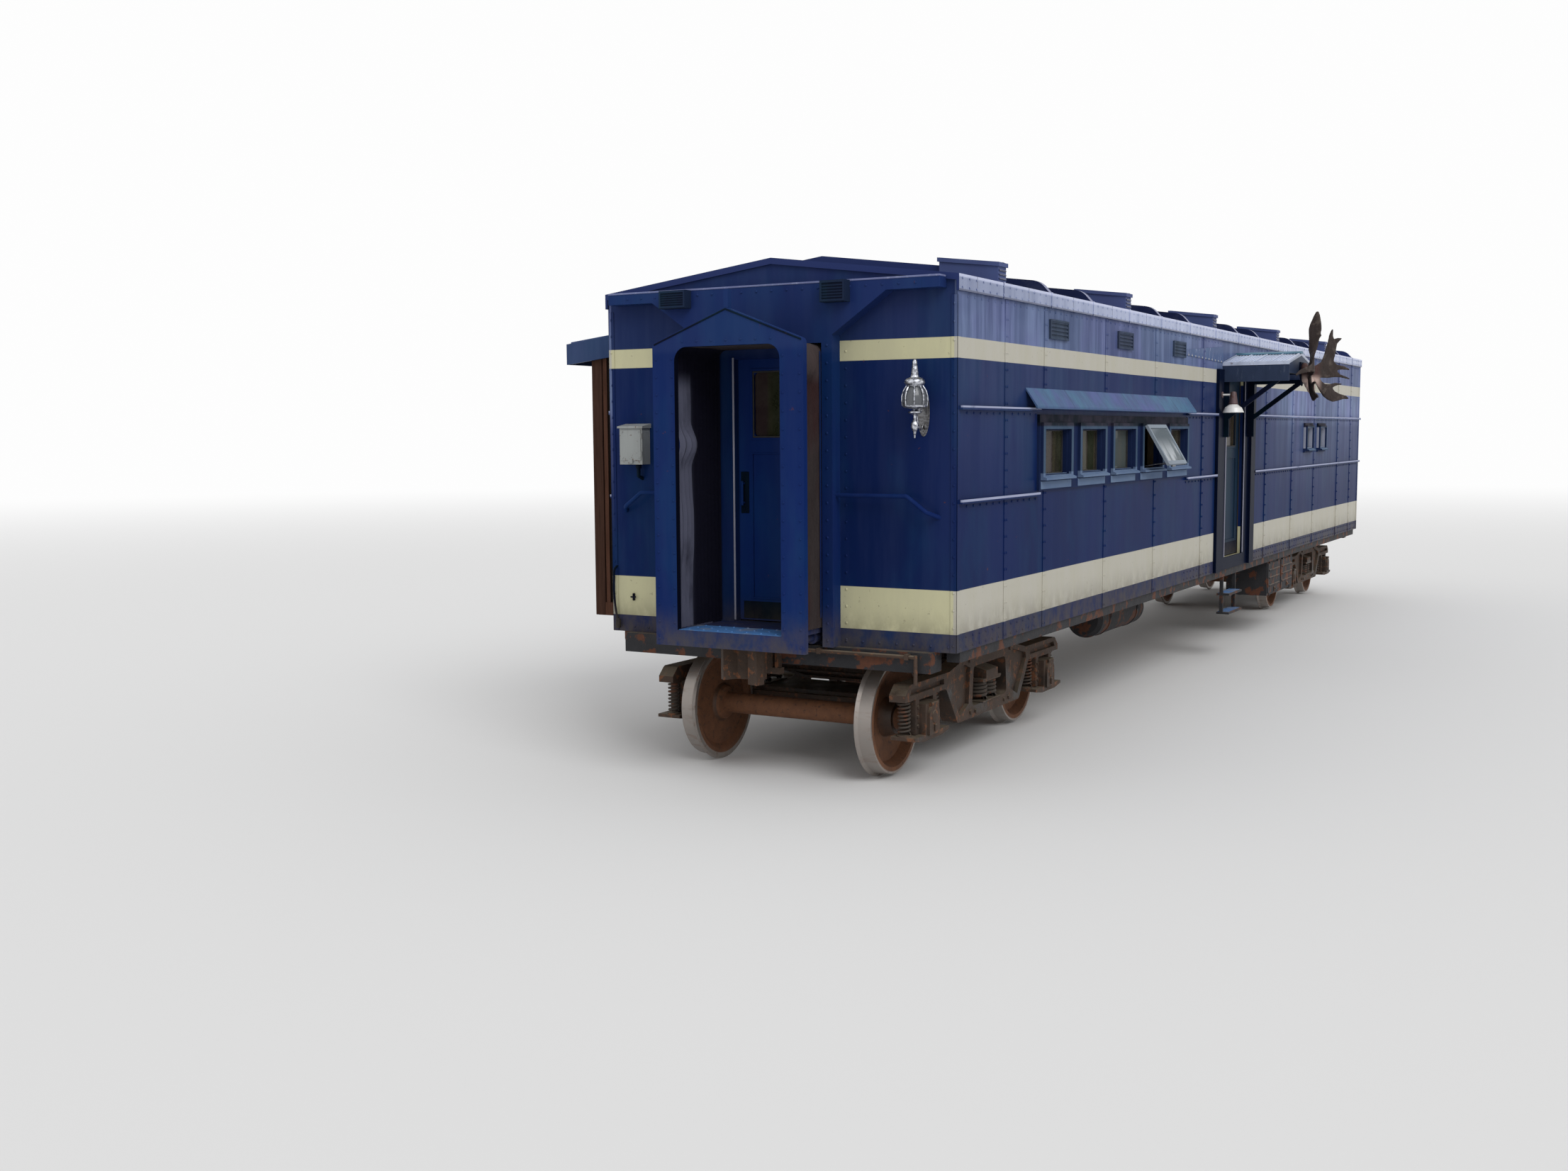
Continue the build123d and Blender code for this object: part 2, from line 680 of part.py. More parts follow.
def make_side_frame(side):
    """One cast side frame: arms over the boxes, pedestal jaws, deep middle round the bolster opening."""
    axle_y, jaw_z, inner_jaw, outer_jaw = wheelbase / 2, 340, 120, 185
    half = [(0, 790), (480, 790), (800, 720), (1500, 720), (1575, 650), (1575, 600)]
    half += [(axle_y + outer_jaw, 600), (axle_y + outer_jaw, jaw_z)]
    half += [(axle_y + inner_jaw, jaw_z), (axle_y + inner_jaw, 590)]
    half += [(axle_y - inner_jaw, 590), (axle_y - inner_jaw, jaw_z), (axle_y - outer_jaw, jaw_z)]
    half += [(axle_y - outer_jaw, 600), (860, 600), (640, 300), (0, 300)]
    outline = half[:-1] + [(-y, z) for y, z in reversed(half)][:-1]
    x = sorted((side * frame_inner_x, side * frame_outer_x))
    casting = prism_along_x(outline, x)
    corners = casting.edges().filter_by(Axis.X)
    casting = fillet(corners.filter_by(lambda e: e.center().Z > 700 or abs(e.center().Y) in (640, 860)), 45)
    window = prism_along_x([(-360, 390), (360, 390), (330, 700), (-330, 700)], (x[0] - 1, x[1] + 1))
    casting -= fillet(window.edges().filter_by(Axis.X), 40)
    # Hollows in the outer face, so that flanges stand round the web
    outer_x = side * frame_outer_x
    hollow_x = sorted((outer_x - side * frame_hollow, outer_x + side))
    for turn in (-1, 1):
        struts = [(430, 420), (600, 350), (800, 625), (790, 672), (500, 738), (400, 700)]
        arm = [(900, 640), (1500, 640), (1470, 682), (900, 682)]
        for hollow in (struts, arm):
            casting -= prism_along_x([(turn * y, z) for y, z in hollow], hollow_x)
    return casting


def make_journal_box(side, y):
    """Journal box with the wings that carry its springs, its hinged lid and the axle's bore."""
    box_x = sorted((side * (frame_inner_x - 20), side * 1110))
    wing = [(y - 300, 312), (y - 150, 290), (y + 150, 290), (y + 300, 312), (y + 300, 336), (y - 300, 336)]
    box = block(box_x, (y - 120, y + 120), (290, 560)) + prism_along_x(wing, box_x)
    lid_x = sorted((side * 1105, side * 1130))
    lid_middle = Pos(sum(lid_x) / 2, y, 460) * Rot(0, 90, 0)
    box += block(lid_x, (y - 88, y + 88), (326, 460)) + lid_middle * Cylinder(88, 25)
    box += rod((side * 1122, y - 55, 552), (side * 1122, y + 55, 552), 13)
    bore = Pos(side * (frame_inner_x + 70), y, wheel_radius) * Rot(0, 90, 0) * Cylinder(journal_bore, 230)
    return box, bore


def make_brake_beam(axle):
    """Brake beam of one axle, hung inside it, with a shoe near each tread and its hangers."""
    inward = -1 if axle > 0 else 1
    shoe_inner, shoe_outer = wheel_radius + shoe_clearance, wheel_radius + shoe_clearance + 45
    beam_y = sorted((axle + inward * (shoe_outer - 4), axle + inward * (shoe_outer + 60)))
    beam = block((-800, 800), beam_y, (385, 445))
    for side in (-1, 1):
        place = Pos(side * 764, axle, wheel_radius) * Rot(0, 90, 0)
        ring = place * Cylinder(shoe_outer, 84) - place * Cylinder(shoe_inner, 90)
        reach = sorted((axle + inward * 380, axle + inward * 480))
        shoe_x = sorted((side * 700, side * 830))
        beam += ring & block(shoe_x, reach, (wheel_radius - 160, wheel_radius + 160))
        hanger_x = sorted((side * 780, side * 800))
        beam += block(hanger_x, (beam_y[0] + 12, beam_y[1] - 12), (400, 660))
        bracket_x = sorted((side * 780, side * (frame_inner_x + 5)))
        beam += block(bracket_x, (beam_y[0] + 12, beam_y[1] - 12), (625, 660))
    return beam


def make_truck_frame():
    """Truck frame: two cast sides with their journal boxes, spring plank, transoms and brake beams."""
    axle_y = wheelbase / 2
    frame = Part()
    for side in (-1, 1):
        casting = make_side_frame(side)
        bores = Part()
        for y in (-axle_y, axle_y):
            box, bore = make_journal_box(side, y)
            casting += box
            bores += bore
        frame += casting - bores
    frame += block((-frame_outer_x, frame_outer_x), (-250, 250), (330, 390))
    # Columns: place along Y from the transom's middle, height
    beam = [(-45, 560), (45, 560), (45, 580), (12, 580), (12, 670), (45, 670), (45, 690)]
    beam += [(-45, 690), (-45, 670), (-12, 670), (-12, 580), (-45, 580)]
    for place in (-340, 340):
        frame += prism_along_x([(place + y, z) for y, z in beam], (-frame_inner_x - 5, frame_inner_x + 5))
    return frame + make_brake_beam(-axle_y) + make_brake_beam(axle_y)


def make_truck_bolster():
    """Fish-bellied truck bolster with its flanges, centre plate and side bearings."""
    belly = [(-1080, 560), (-860, 560), (-520, 480), (520, 480), (860, 560), (1080, 560)]
    web = belly + [(1080, 640), (900, 685), (860, 720), (-860, 720), (-900, 685), (-1080, 640)]
    flange = belly + [(1080, 578), (855, 578), (515, 500), (-515, 500), (-855, 578), (-1080, 578)]
    bolster = prism_along_y(web, (-120, 120)) + prism_along_y(flange, (-190, 190))
    bolster += block((-860, 860), (-190, 190), (700, 720))
    bolster += Pos(0, 0, (720 + centre_plate_top) / 2) * Cylinder(180, centre_plate_top - 720)
    for x in (-640, 640):
        bolster += block((x - 70, x + 70), (-110, 110), (715, 822))
    return bolster


def make_truck_springs():
    """Bolster springs and the journal springs beside each box, as plain cylinders."""
    # Columns: radius, height of the middle, length, places along the truck
    groups = [(78, 475, 170, (-95, 95))]
    for axle in (-wheelbase / 2, wheelbase / 2):
        groups.append((50, 468, 264, (axle - 243, axle + 243)))
    return [
        Pos(side * 995, y, middle) * Cylinder(radius, length)
        for side in (-1, 1)
        for radius, middle, length, places in groups
        for y in places
    ]


def make_battery_box():
    """Battery box hung under the right side sill, with two ribbed doors and their hinges."""
    box = block((900, 1400), (2000, 3450), (470, sill_underside))
    for y in (2362, 3088):
        box += block((1395, 1412), (y - 330, y + 330), (500, 870))
        for z in (590, 685, 780):
            rib = [(1410, z - 16), (1422, z - 6), (1422, z + 6), (1410, z + 16)]
            box += prism_along_y(rib, (y - 290, y + 290))
        for hinge_y in (y - 220, y + 220):
            box += rod((1406, hinge_y - 35, 874), (1406, hinge_y + 35, 874), 11)
    return box


def make_brake_gear():
    """Air reservoir with domed ends and its saddles, and the brake cylinder with its lever."""
    # Columns: place along the reservoir from its middle, radius
    half = [(0, 190), (690, 190), (735, 150), (750, 80), (750, 0)]
    outline = [(-y, r) for y, r in reversed(half)] + half[1:]
    shell = revolve(make_face(Polyline(*[(r, y, 0) for y, r in outline], close=True)), axis=Axis.Y)
    reservoir = Pos(620, -1900, 628) * shell
    saddle = [(520, 780), (720, 780), (720, bearer_under(720)), (520, bearer_under(520))]
    reservoir += prism_along_y(saddle, (-1945, -1855))
    cylinder = Pos(-520, 1400, 690) * Rot(90, 0, 0) * Cylinder(150, 480)
    cylinder += Pos(-520, 1160, 690) * Rot(90, 0, 0) * Cylinder(168, 30)
    cylinder += rod((-520, 900, 690), (-520, 1160, 690), 32)
    cylinder += block((-560, -200), (890, 930), (665, 715))
    cylinder += block((-560, -480), (1400, 1900), (690, 760))
    cylinder += block((-560, -480), (1860, 1945), (690, bearer_under(480)))
    return [reservoir, cylinder]


def make_side_step():
    """Two-tread stirrup step under the right side door."""
    step = block((1392, 1430), (-290, -262), (480, sill_underside))
    step += block((1392, 1430), (262, 290), (480, sill_underside))
    for z in (480, 690):
        step += block((1360, 1500), (-290, 290), (z, z + 22))
    return step


def make_lean_to():
    """Left lean-to: its shed roof with deep fascia, and the boarded walls on their base."""
    y0, y1 = from_front(600), from_front(2500)
    wall_top, out = eave - 221, -half_width - 880
    drop = 0.1175
    top_out = wall_top - 880 * drop
    roof_edge = [(-half_width, wall_top), (out, top_out), (out, top_out - 170), (out + 28, top_out - 170)]
    roof_edge += [(out + 28, top_out + 28 * drop - 36), (-half_width, wall_top - 36)]
    roof = prism_along_y(roof_edge, (y0, y1))
    rake = [(-half_width, wall_top), (out, top_out), (out, top_out - 170), (-half_width, wall_top - 170)]
    roof += prism_along_y(rake, (y0, y0 + 28)) + prism_along_y(rake, (y1 - 28, y1))
    wall_x, inset, board = -2096, 60, 46
    head = wall_top - (abs(wall_x) - half_width) * drop - 36
    foot = 1010
    walls = prism_along_y(
        [(-half_width, foot), (wall_x, foot), (wall_x, head), (-half_width, wall_top - 36)],
        (y0 + inset, y1 - inset),
    )
    inner_span = (y0 + inset + board, y1 - inset - board)
    walls -= block((wall_x + board, -half_width + 1), inner_span, (foot + 60, eave))
    return roof, walls


# Body shell
save("underframe", make_underframe())
save("floor", block((-inner_x, inner_x), (-inner_y, inner_y), (floor_bottom, floor_top)))
side_wall = make_side_wall()
save("right_side_wall", side_wall)
save("left_side_wall", half_turn(side_wall))
end_wall = make_end_wall()
end_posts = make_end_posts()
save("front_end_wall", end_wall)
save("rear_end_wall", half_turn(end_wall))
save("roof", make_roof())

# Roof fittings; the left row of ventilators is the half turn of the right row
seam_places = [from_front(seam_first + i * seam_pitch) for i in range(seam_count)]
right_vented = [i % ventilator_every == 0 for i in range(seam_count)]
left_vented = list(reversed(right_vented))
caps = []
ventilators = []
for y, on_right, on_left in zip(seam_places, right_vented, left_vented):
    caps += make_seam_cap(y, on_right, on_left)
    if on_right:
        ventilators += [make_ventilator(y), half_turn(make_ventilator(y))]
save("roof_seam_caps", *caps)
save("roof_ventilators", *ventilators)

# Ends: each piece at the front, and its half turn at the rear
end_pieces = (
    ("end_posts", end_posts),
    ("gangway_frame", make_gangway_frame()),
    ("bellows", make_bellows()),
    ("coupler", make_coupler()),
)
for name, shape in end_pieces:
    save("front_" + name, shape)
    save("rear_" + name, half_turn(shape))

# Doors and their glass
end_leaf, end_glass = make_end_door()
side_leaf, side_glass = make_side_door()
doors = (
    ("front_end_door", "rear_end_door", end_leaf, end_glass),
    ("right_side_door", "left_side_door", side_leaf, side_glass),
)
for name, opposite, leaf, glass in doors:
    save(name, leaf)
    save(name + "_glass", glass)
    save(opposite, half_turn(leaf))
    save(opposite + "_glass", half_turn(glass))

# Sides
open_sash, sash_pane = make_open_sash()
trims = make_window_trim()
panes = make_window_glass() + [sash_pane]
save("window_trim", *trims, *[half_turn(t) for t in trims])
save("window_glass", *panes, *[half_turn(p) for p in panes])
save("open_sash", open_sash, half_turn(open_sash))
hood = make_window_hood()
save("window_hoods", hood, half_turn(hood))
lean_to_roof, lean_to_walls = make_lean_to()
rails = make_side_rails()
lean_to_space = block((-half_width - 900, -half_width + 1), (from_front(590), from_front(2510)), (900, eave))
left_rails = []
for rail in rails:
    left_rails += (half_turn(rail) - lean_to_space).solids()
save("side_rails", *rails, *left_rails)
save("side_vents", *make_side_vents(), *[half_turn(v) for v in make_side_vents()])

# Fittings
save("awning_roof", make_awning_roof())
save("awning_brackets", *make_awning_brackets())
save("awning_lamp", make_awning_lamp())
save("antlers", make_antlers())
save("wall_lantern", make_lantern())
save("service_box", make_service_box())
grab_rails = [make_grab_rail(-1), make_grab_rail(1)]
save("grab_rails", *grab_rails, *[half_turn(g) for g in grab_rails])
save("end_lamps", *make_end_lamps())
save("lean_to_roof", lean_to_roof)
save("lean_to_walls", lean_to_walls)

# Under the floor
battery_box = make_battery_box()
save("battery_boxes", battery_box, half_turn(battery_box))
save("brake_gear", *make_brake_gear())
side_step = make_side_step()
save("side_steps", side_step, half_turn(side_step))

# Trucks
truck_frame = make_truck_frame()
truck_bolster = make_truck_bolster()
truck_springs = make_truck_springs()
wheelset = make_wheelset()
for end, y in (("front", -truck_centre), ("rear", truck_centre)):
    place = Pos(0, y, 0)
    save(end + "_truck_frame", place * truck_frame)
    save(end + "_truck_bolster", place * truck_bolster)
    save(end + "_truck_springs", *[place * spring for spring in truck_springs])
    for name, axle_y in (("outer", wheelbase / 2), ("inner", -wheelbase / 2)):
        axle_place = y + axle_y * (1 if y > 0 else -1)
        save(f"{end}_{name}_wheelset", Pos(0, axle_place, wheel_radius) * wheelset)
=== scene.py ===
import json
import math

import bmesh
import bpy
from bpy.props import FloatProperty, FloatVectorProperty, PointerProperty
from mathutils import Matrix, Vector

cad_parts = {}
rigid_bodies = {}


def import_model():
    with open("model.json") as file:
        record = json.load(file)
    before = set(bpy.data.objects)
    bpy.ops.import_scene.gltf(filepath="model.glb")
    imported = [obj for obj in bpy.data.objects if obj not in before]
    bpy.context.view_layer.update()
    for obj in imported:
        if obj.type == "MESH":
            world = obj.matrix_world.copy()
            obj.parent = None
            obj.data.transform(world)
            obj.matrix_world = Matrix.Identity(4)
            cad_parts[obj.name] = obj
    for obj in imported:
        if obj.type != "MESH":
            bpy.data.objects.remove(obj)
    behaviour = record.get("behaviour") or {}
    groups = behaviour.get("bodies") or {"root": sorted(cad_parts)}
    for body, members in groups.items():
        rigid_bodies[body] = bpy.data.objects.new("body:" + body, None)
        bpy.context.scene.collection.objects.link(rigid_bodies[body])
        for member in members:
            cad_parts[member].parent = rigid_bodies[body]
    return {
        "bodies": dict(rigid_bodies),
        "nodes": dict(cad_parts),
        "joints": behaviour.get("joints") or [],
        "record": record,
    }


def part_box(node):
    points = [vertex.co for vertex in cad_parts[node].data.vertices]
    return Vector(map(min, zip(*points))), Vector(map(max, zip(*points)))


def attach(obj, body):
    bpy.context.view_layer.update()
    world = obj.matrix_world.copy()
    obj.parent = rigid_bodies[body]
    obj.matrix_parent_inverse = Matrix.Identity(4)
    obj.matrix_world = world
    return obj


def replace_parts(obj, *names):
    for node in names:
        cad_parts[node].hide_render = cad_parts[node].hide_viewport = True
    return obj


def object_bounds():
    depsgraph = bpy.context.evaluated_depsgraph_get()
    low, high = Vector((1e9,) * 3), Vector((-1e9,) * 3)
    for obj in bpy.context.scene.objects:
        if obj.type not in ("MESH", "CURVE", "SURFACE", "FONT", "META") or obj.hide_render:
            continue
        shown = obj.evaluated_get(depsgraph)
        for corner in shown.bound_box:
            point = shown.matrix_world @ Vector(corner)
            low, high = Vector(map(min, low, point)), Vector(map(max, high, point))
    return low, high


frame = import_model()
cad_low, cad_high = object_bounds()

bl_info = {
    "name": "Guest caboose railway car",
    "version": (1, 0, 0),
    "blender": (4, 5, 0),
    "location": "View3D > Sidebar > Caboose",
    "description": "Finishes and fittings of a steel sleeping car kept as a guest cabin",
    "category": "Object",
}

# Places of the car that the fittings are worked out from, in metres
HALF_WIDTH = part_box("right_side_wall")[1].x
HALF_LENGTH = -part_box("front_end_wall")[0].y
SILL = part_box("right_side_wall")[0].z
ROOF_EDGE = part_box("roof")[1].x
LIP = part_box("roof")[0].z
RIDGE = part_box("roof")[1].z
LIP_DEPTH = 0.115
EAVE = LIP + LIP_DEPTH
ROOF_SLOPE = (RIDGE - EAVE) / HALF_WIDTH
FLOOR_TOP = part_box("floor")[1].z
GROUND = cad_low.z
CAR = "car_body"

# Distances rearwards from the front end wall
SEAMS_IN_FRAME = (6.4, 9.3, 10.8, 13.885)
SEAMS_ADDED = (0.9, 1.718, 3.215, 4.7, 12.2, 14.9)
LIGHTS_SPAN = (1.55, 5.76)
DOORWAY = (6.95, 8.65)
FIRST_ROOF_SEAM = 0.8

# Drops below the eave
BELTS = (0.923, 1.573)
HOOD_TOP = 0.745
LIGHTS_FOOT = 1.535
AWNING_CROWN = 0.245
AWNING_FOOT = 0.352

# Falls of the awning's and the lean-to's roofs
AWNING_SLOPE = (AWNING_FOOT - AWNING_CROWN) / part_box("awning_roof")[1].y
LEAN_TO_SLOPE = 0.1175


def length(name, description, default):
    """A size that a user may change."""
    return FloatProperty(name=name, description=description, unit="LENGTH", default=default)


def angle(name, description, degrees):
    """A turn that a user may change."""
    return FloatProperty(name=name, description=description, subtype="ANGLE", default=math.radians(degrees))


def strength(name, description, default):
    """A strength of light that a user may change."""
    return FloatProperty(name=name, description=description, min=0, default=default)


def colour(name, description, default):
    """A colour that a user may change."""
    return FloatVectorProperty(
        name=name, description=description, subtype="COLOR", size=3, min=0, max=1, default=default)


class PaintSettings(bpy.types.PropertyGroup):
    """Colours of the car's paints and the places of its stripes."""

    body: colour("Body blue", "Enamel of the sides and ends", (0.004, 0.0145, 0.08))
    stripe: colour("Stripe cream", "Both stripes round the car", (0.57, 0.55, 0.35))
    trim: colour("Trim blue", "Paler blue on the lights' sills and the drip hoods", (0.072, 0.12, 0.245))
    roof: colour("Roof blue", "Roof sheet and its seam caps", (0.008, 0.014, 0.058))
    upper_top: length("Upper stripe top", "Drop from the eave to the upper stripe's top", 0.426)
    upper_bottom: length("Upper stripe foot", "Drop from the eave to the upper stripe's foot", 0.569)
    lower_top: length("Lower stripe top", "Drop from the eave to the lower stripe's top", 2.177)
    lower_bottom: length("Lower stripe foot", "Drop from the eave to the lower stripe's foot", 2.483)
    doorway_gap: length("Doorway gap", "Half of the plain stretch round each side doorway", 0.71)


class RivetSettings(bpy.types.PropertyGroup):
    """Rivets of the shell."""

    radius: length("Head radius", "Radius of a rivet's head", 0.011)
    height: length("Head height", "Height of a rivet's head over the sheet", 0.006)
    pitch: length("Pitch", "Distance between rivets in a row", 0.125)


class StageSettings(bpy.types.PropertyGroup):
    """Floor, light and the photograph's camera."""

    floor: colour("Floor", "Colour of the studio floor", (0.78, 0.78, 0.78))
    sky: strength("Sky light", "Strength of the studio's even light", 0.72)
    key: strength("Key light", "Strength of the soft sun", 1.15)
    eye: FloatVectorProperty(
        name="Camera place", description="Eye point of the photograph",
        subtype="TRANSLATION", size=3, default=(5.754, -17.723, EAVE - 1.082))
    yaw: angle("Camera yaw", "Turn from straight along the car", 29.75)
    pitch: angle("Camera pitch", "Tilt below the horizon", 5.56)
    roll: angle("Camera roll", "Tilt of the horizon in the picture", -0.388)
    lens: FloatProperty(
        name="Focal length", description="On a sensor 36 mm wide", subtype="DISTANCE_CAMERA", default=35.74)


def begin():
    """Leaves edit mode and deselects everything."""
    if bpy.context.object and bpy.context.object.mode != "OBJECT":
        bpy.ops.object.mode_set(mode="OBJECT")
    bpy.ops.object.select_all(action="DESELECT")


def only(piece):
    """Leaves one piece selected and active."""
    begin()
    piece.select_set(True)
    bpy.context.view_layer.objects.active = piece


def settle(piece):
    """Puts the piece's place, turn and scale into its mesh."""
    only(piece)
    bpy.ops.object.transform_apply(location=True, rotation=True, scale=True)
    return piece


def modify(piece, kind, **settings):
    """Adds a modifier and applies it at once."""
    only(piece)
    modifier = piece.modifiers.new(kind.lower(), kind)
    for key, value in settings.items():
        setattr(modifier, key, value)
    bpy.ops.object.modifier_apply(modifier=modifier.name)
    return piece


def pick(piece, kind, test):
    """Opens a piece for editing, with only the faces, edges or vertices selected that pass a test."""
    only(piece)
    bpy.ops.object.mode_set(mode="EDIT")
    bpy.ops.mesh.select_mode(type=kind)
    bpy.ops.mesh.select_all(action="DESELECT")
    mesh = bmesh.from_edit_mesh(piece.data)
    for element in {"FACE": mesh.faces, "EDGE": mesh.edges, "VERT": mesh.verts}[kind]:
        if test(element):
            element.select_set(True)
    bmesh.update_edit_mesh(piece.data)


def close_up(piece):
    """Merges doubles, turns every face outwards and leaves edit mode."""
    pick(piece, "VERT", lambda vertex: True)
    bpy.ops.mesh.remove_doubles(threshold=0.0002)
    bpy.ops.mesh.select_all(action="SELECT")
    bpy.ops.mesh.normals_make_consistent(inside=False)
    bpy.ops.object.mode_set(mode="OBJECT")
    return piece


def smooth(piece, degrees=40):
    """Shades a piece smooth but for edges sharper than an angle."""
    only(piece)
    bpy.ops.object.shade_smooth_by_angle(angle=math.radians(degrees))
    return piece


def rounded(piece, width, segments=1):
    """Breaks a piece's sharp edges, unless the width is nothing."""
    if not width:
        return piece
    return modify(piece, "BEVEL", width=width, segments=segments, limit_method="ANGLE")


def box(one, other, edge=0.002):
    """A box between any two opposite corners, with its edges broken."""
    begin()
    low = Vector([min(pair) for pair in zip(one, other)])
    high = Vector([max(pair) for pair in zip(one, other)])
    bpy.ops.mesh.primitive_cube_add(size=1, location=(low + high) / 2)
    piece = bpy.context.object
    piece.scale = high - low
    return rounded(settle(piece), edge)


def ring(low, high, border, axis, edge=0.0015):
    """A rectangular frame: a box whose two faces along an axis are inset and bridged through."""
    piece = box(low, high, 0)
    pick(piece, "FACE", lambda face: abs(face.normal[axis]) > 0.9)
    bpy.ops.mesh.inset(thickness=border, depth=0)
    bpy.ops.mesh.bridge_edge_loops()
    close_up(piece)
    return rounded(piece, edge)


def plate(points, carry, edge=0.0015):
    """A flat outline, drawn with the corners of a disc, carried along a vector."""
    begin()
    bpy.ops.mesh.primitive_circle_add(vertices=len(points), fill_type="NGON")
    piece = bpy.context.object
    for vertex, point in zip(piece.data.vertices, points):
        vertex.co = point
    pick(piece, "FACE", lambda face: True)
    bpy.ops.mesh.extrude_region_move(TRANSFORM_OT_translate={"value": carry})
    close_up(piece)
    return rounded(piece, edge)


def turned(profile, centre, steps=24, angles=(0, 0, 0), degrees=40):
    """A chain of radius and height pairs, spun round an upright axis, then turned and moved to its centre."""
    begin()
    bpy.ops.mesh.primitive_circle_add(vertices=len(profile), fill_type="NOTHING")
    piece = bpy.context.object
    for vertex, (radius, height) in zip(piece.data.vertices, profile):
        vertex.co = (radius, 0, height)
    last = len(profile) - 1
    pick(piece, "EDGE", lambda edge: {vertex.index for vertex in edge.verts} == {0, last})
    bpy.ops.mesh.delete(type="EDGE")
    bpy.ops.mesh.select_all(action="SELECT")
    bpy.ops.mesh.spin(steps=steps, angle=math.tau, center=(0, 0, 0), axis=(0, 0, 1))
    close_up(piece)
    piece.rotation_euler = angles
    piece.location = centre
    return smooth(settle(piece), degrees)


TO_FRONT = (math.radians(90), 0, 0)
TO_RIGHT = (0, math.radians(90), 0)


def button(radius, top, rim, height, centre, steps, angles=(0, 0, 0), degrees=40):
    """A low round head: its foot's radius, its top's, and the heights of its rim and middle."""
    return turned([(0, 0), (radius, 0), (top, rim), (0, height)], centre, steps, angles, degrees)


def bar(points, radius, handles="VECTOR", sides=1):
    """A round bar along points: a curve with a round bevel and closed ends, made a mesh."""
    begin()
    bpy.ops.curve.primitive_bezier_curve_add(location=(0, 0, 0))
    piece = bpy.context.object
    curve = piece.data
    knots = curve.splines[0].bezier_points
    if len(points) > 2:
        knots.add(len(points) - 2)
    for knot, point in zip(knots, points):
        knot.co = point
    for knot in knots:
        knot.handle_left_type = knot.handle_right_type = handles
    curve.resolution_u = 1 if handles == "VECTOR" else 8
    curve.bevel_depth = radius
    curve.bevel_resolution = sides
    curve.use_fill_caps = True
    bpy.ops.object.convert(target="MESH")
    return smooth(close_up(bpy.context.object), 50)


def twin(piece, change=(0, 0, 0)):
    """Another of a piece, with its own mesh, moved by a vector or a matrix."""
    other = piece.copy()
    other.data = piece.data.copy()
    bpy.context.collection.objects.link(other)
    move = change if isinstance(change, Matrix) else Matrix.Translation(change)
    other.data.transform(move)
    if move.determinant() < 0:
        other.data.flip_normals()
    return other


def row(piece, count, offset):
    """Repeats a piece by one constant step."""
    return modify(piece, "ARRAY", count=count, use_relative_offset=False,
                  use_constant_offset=True, constant_offset_displace=offset)


def joined(name, pieces):
    """Joins pieces into the first of them and names it."""
    begin()
    for piece in pieces:
        piece.select_set(True)
    bpy.context.view_layer.objects.active = pieces[0]
    if len(pieces) > 1:
        bpy.ops.object.join()
    pieces[0].name = name
    return pieces[0]


def fit(name, pieces, material, body=CAR):
    """Joins pieces into one, with its finish and the body that it rides on."""
    piece = joined(name, pieces)
    piece.data.name = name
    piece.data.materials.clear()
    piece.data.materials.append(finish(material))
    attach(piece, body)
    return piece


HALF_TURN = Matrix.Rotation(math.pi, 4, "Z")
RIGHT_LEFT = (("right", Matrix.Identity(4)), ("left", HALF_TURN))
FRONT_REAR = (("front", Matrix.Identity(4)), ("rear", HALF_TURN))


def both(ends, name, pieces, material, part=""):
    """Fits a piece and its half turn, on the car or on a part named by its end or side."""
    source = joined(name, pieces)
    made = [fit(f"{end}_{name}", [twin(source, turn)], material, f"{end}_{part}" if part else CAR)
            for end, turn in ends]
    bpy.data.objects.remove(source)
    return made


def from_front(distance):
    """A distance from the front end wall, as a place on Y."""
    return distance - HALF_LENGTH


def under_eave(drop):
    """A drop below the eave, as a place on Z."""
    return EAVE - drop


class Wire:
    """One output socket of a finish, on which Python's own signs add Math nodes."""

    def __init__(self, finish, socket):
        self.finish = finish
        self.socket = socket

    def math(self, operation, *values):
        return self.finish.node("Math", {"operation": operation}, dict(enumerate(values)))

    def __add__(self, other):
        return self.math("ADD", self, other)

    def __sub__(self, other):
        return self.math("SUBTRACT", self, other)

    def __rsub__(self, other):
        return self.math("SUBTRACT", other, self)

    def __mul__(self, other):
        return self.math("MULTIPLY", self, other)

    def __truediv__(self, other):
        return self.math("DIVIDE", self, other)

    def __pow__(self, other):
        return self.math("POWER", self, other)

    __radd__ = __add__
    __rmul__ = __mul__

    def __abs__(self):
        return self.math("ABSOLUTE", self)

    def above(self, edge, soft=0.002):
        """1 over the edge and 0 under it, with a soft step between."""
        limits = {"Value": self, "From Min": edge - soft, "From Max": edge + soft}
        return self.finish.node("MapRange", {"interpolation_type": "SMOOTHSTEP"}, limits)

    def below(self, edge, soft=0.002):
        return 1 - self.above(edge, soft)

    def within(self, low, high, soft=0.002):
        return self.above(low, soft) * self.below(high, soft)

    def repeat(self, pitch, shift=0.0):
        """Distance from the nearest of many lines that stand a pitch apart."""
        return abs(self.math("PINGPONG", self + shift + 100 * pitch, pitch / 2) - pitch / 2)


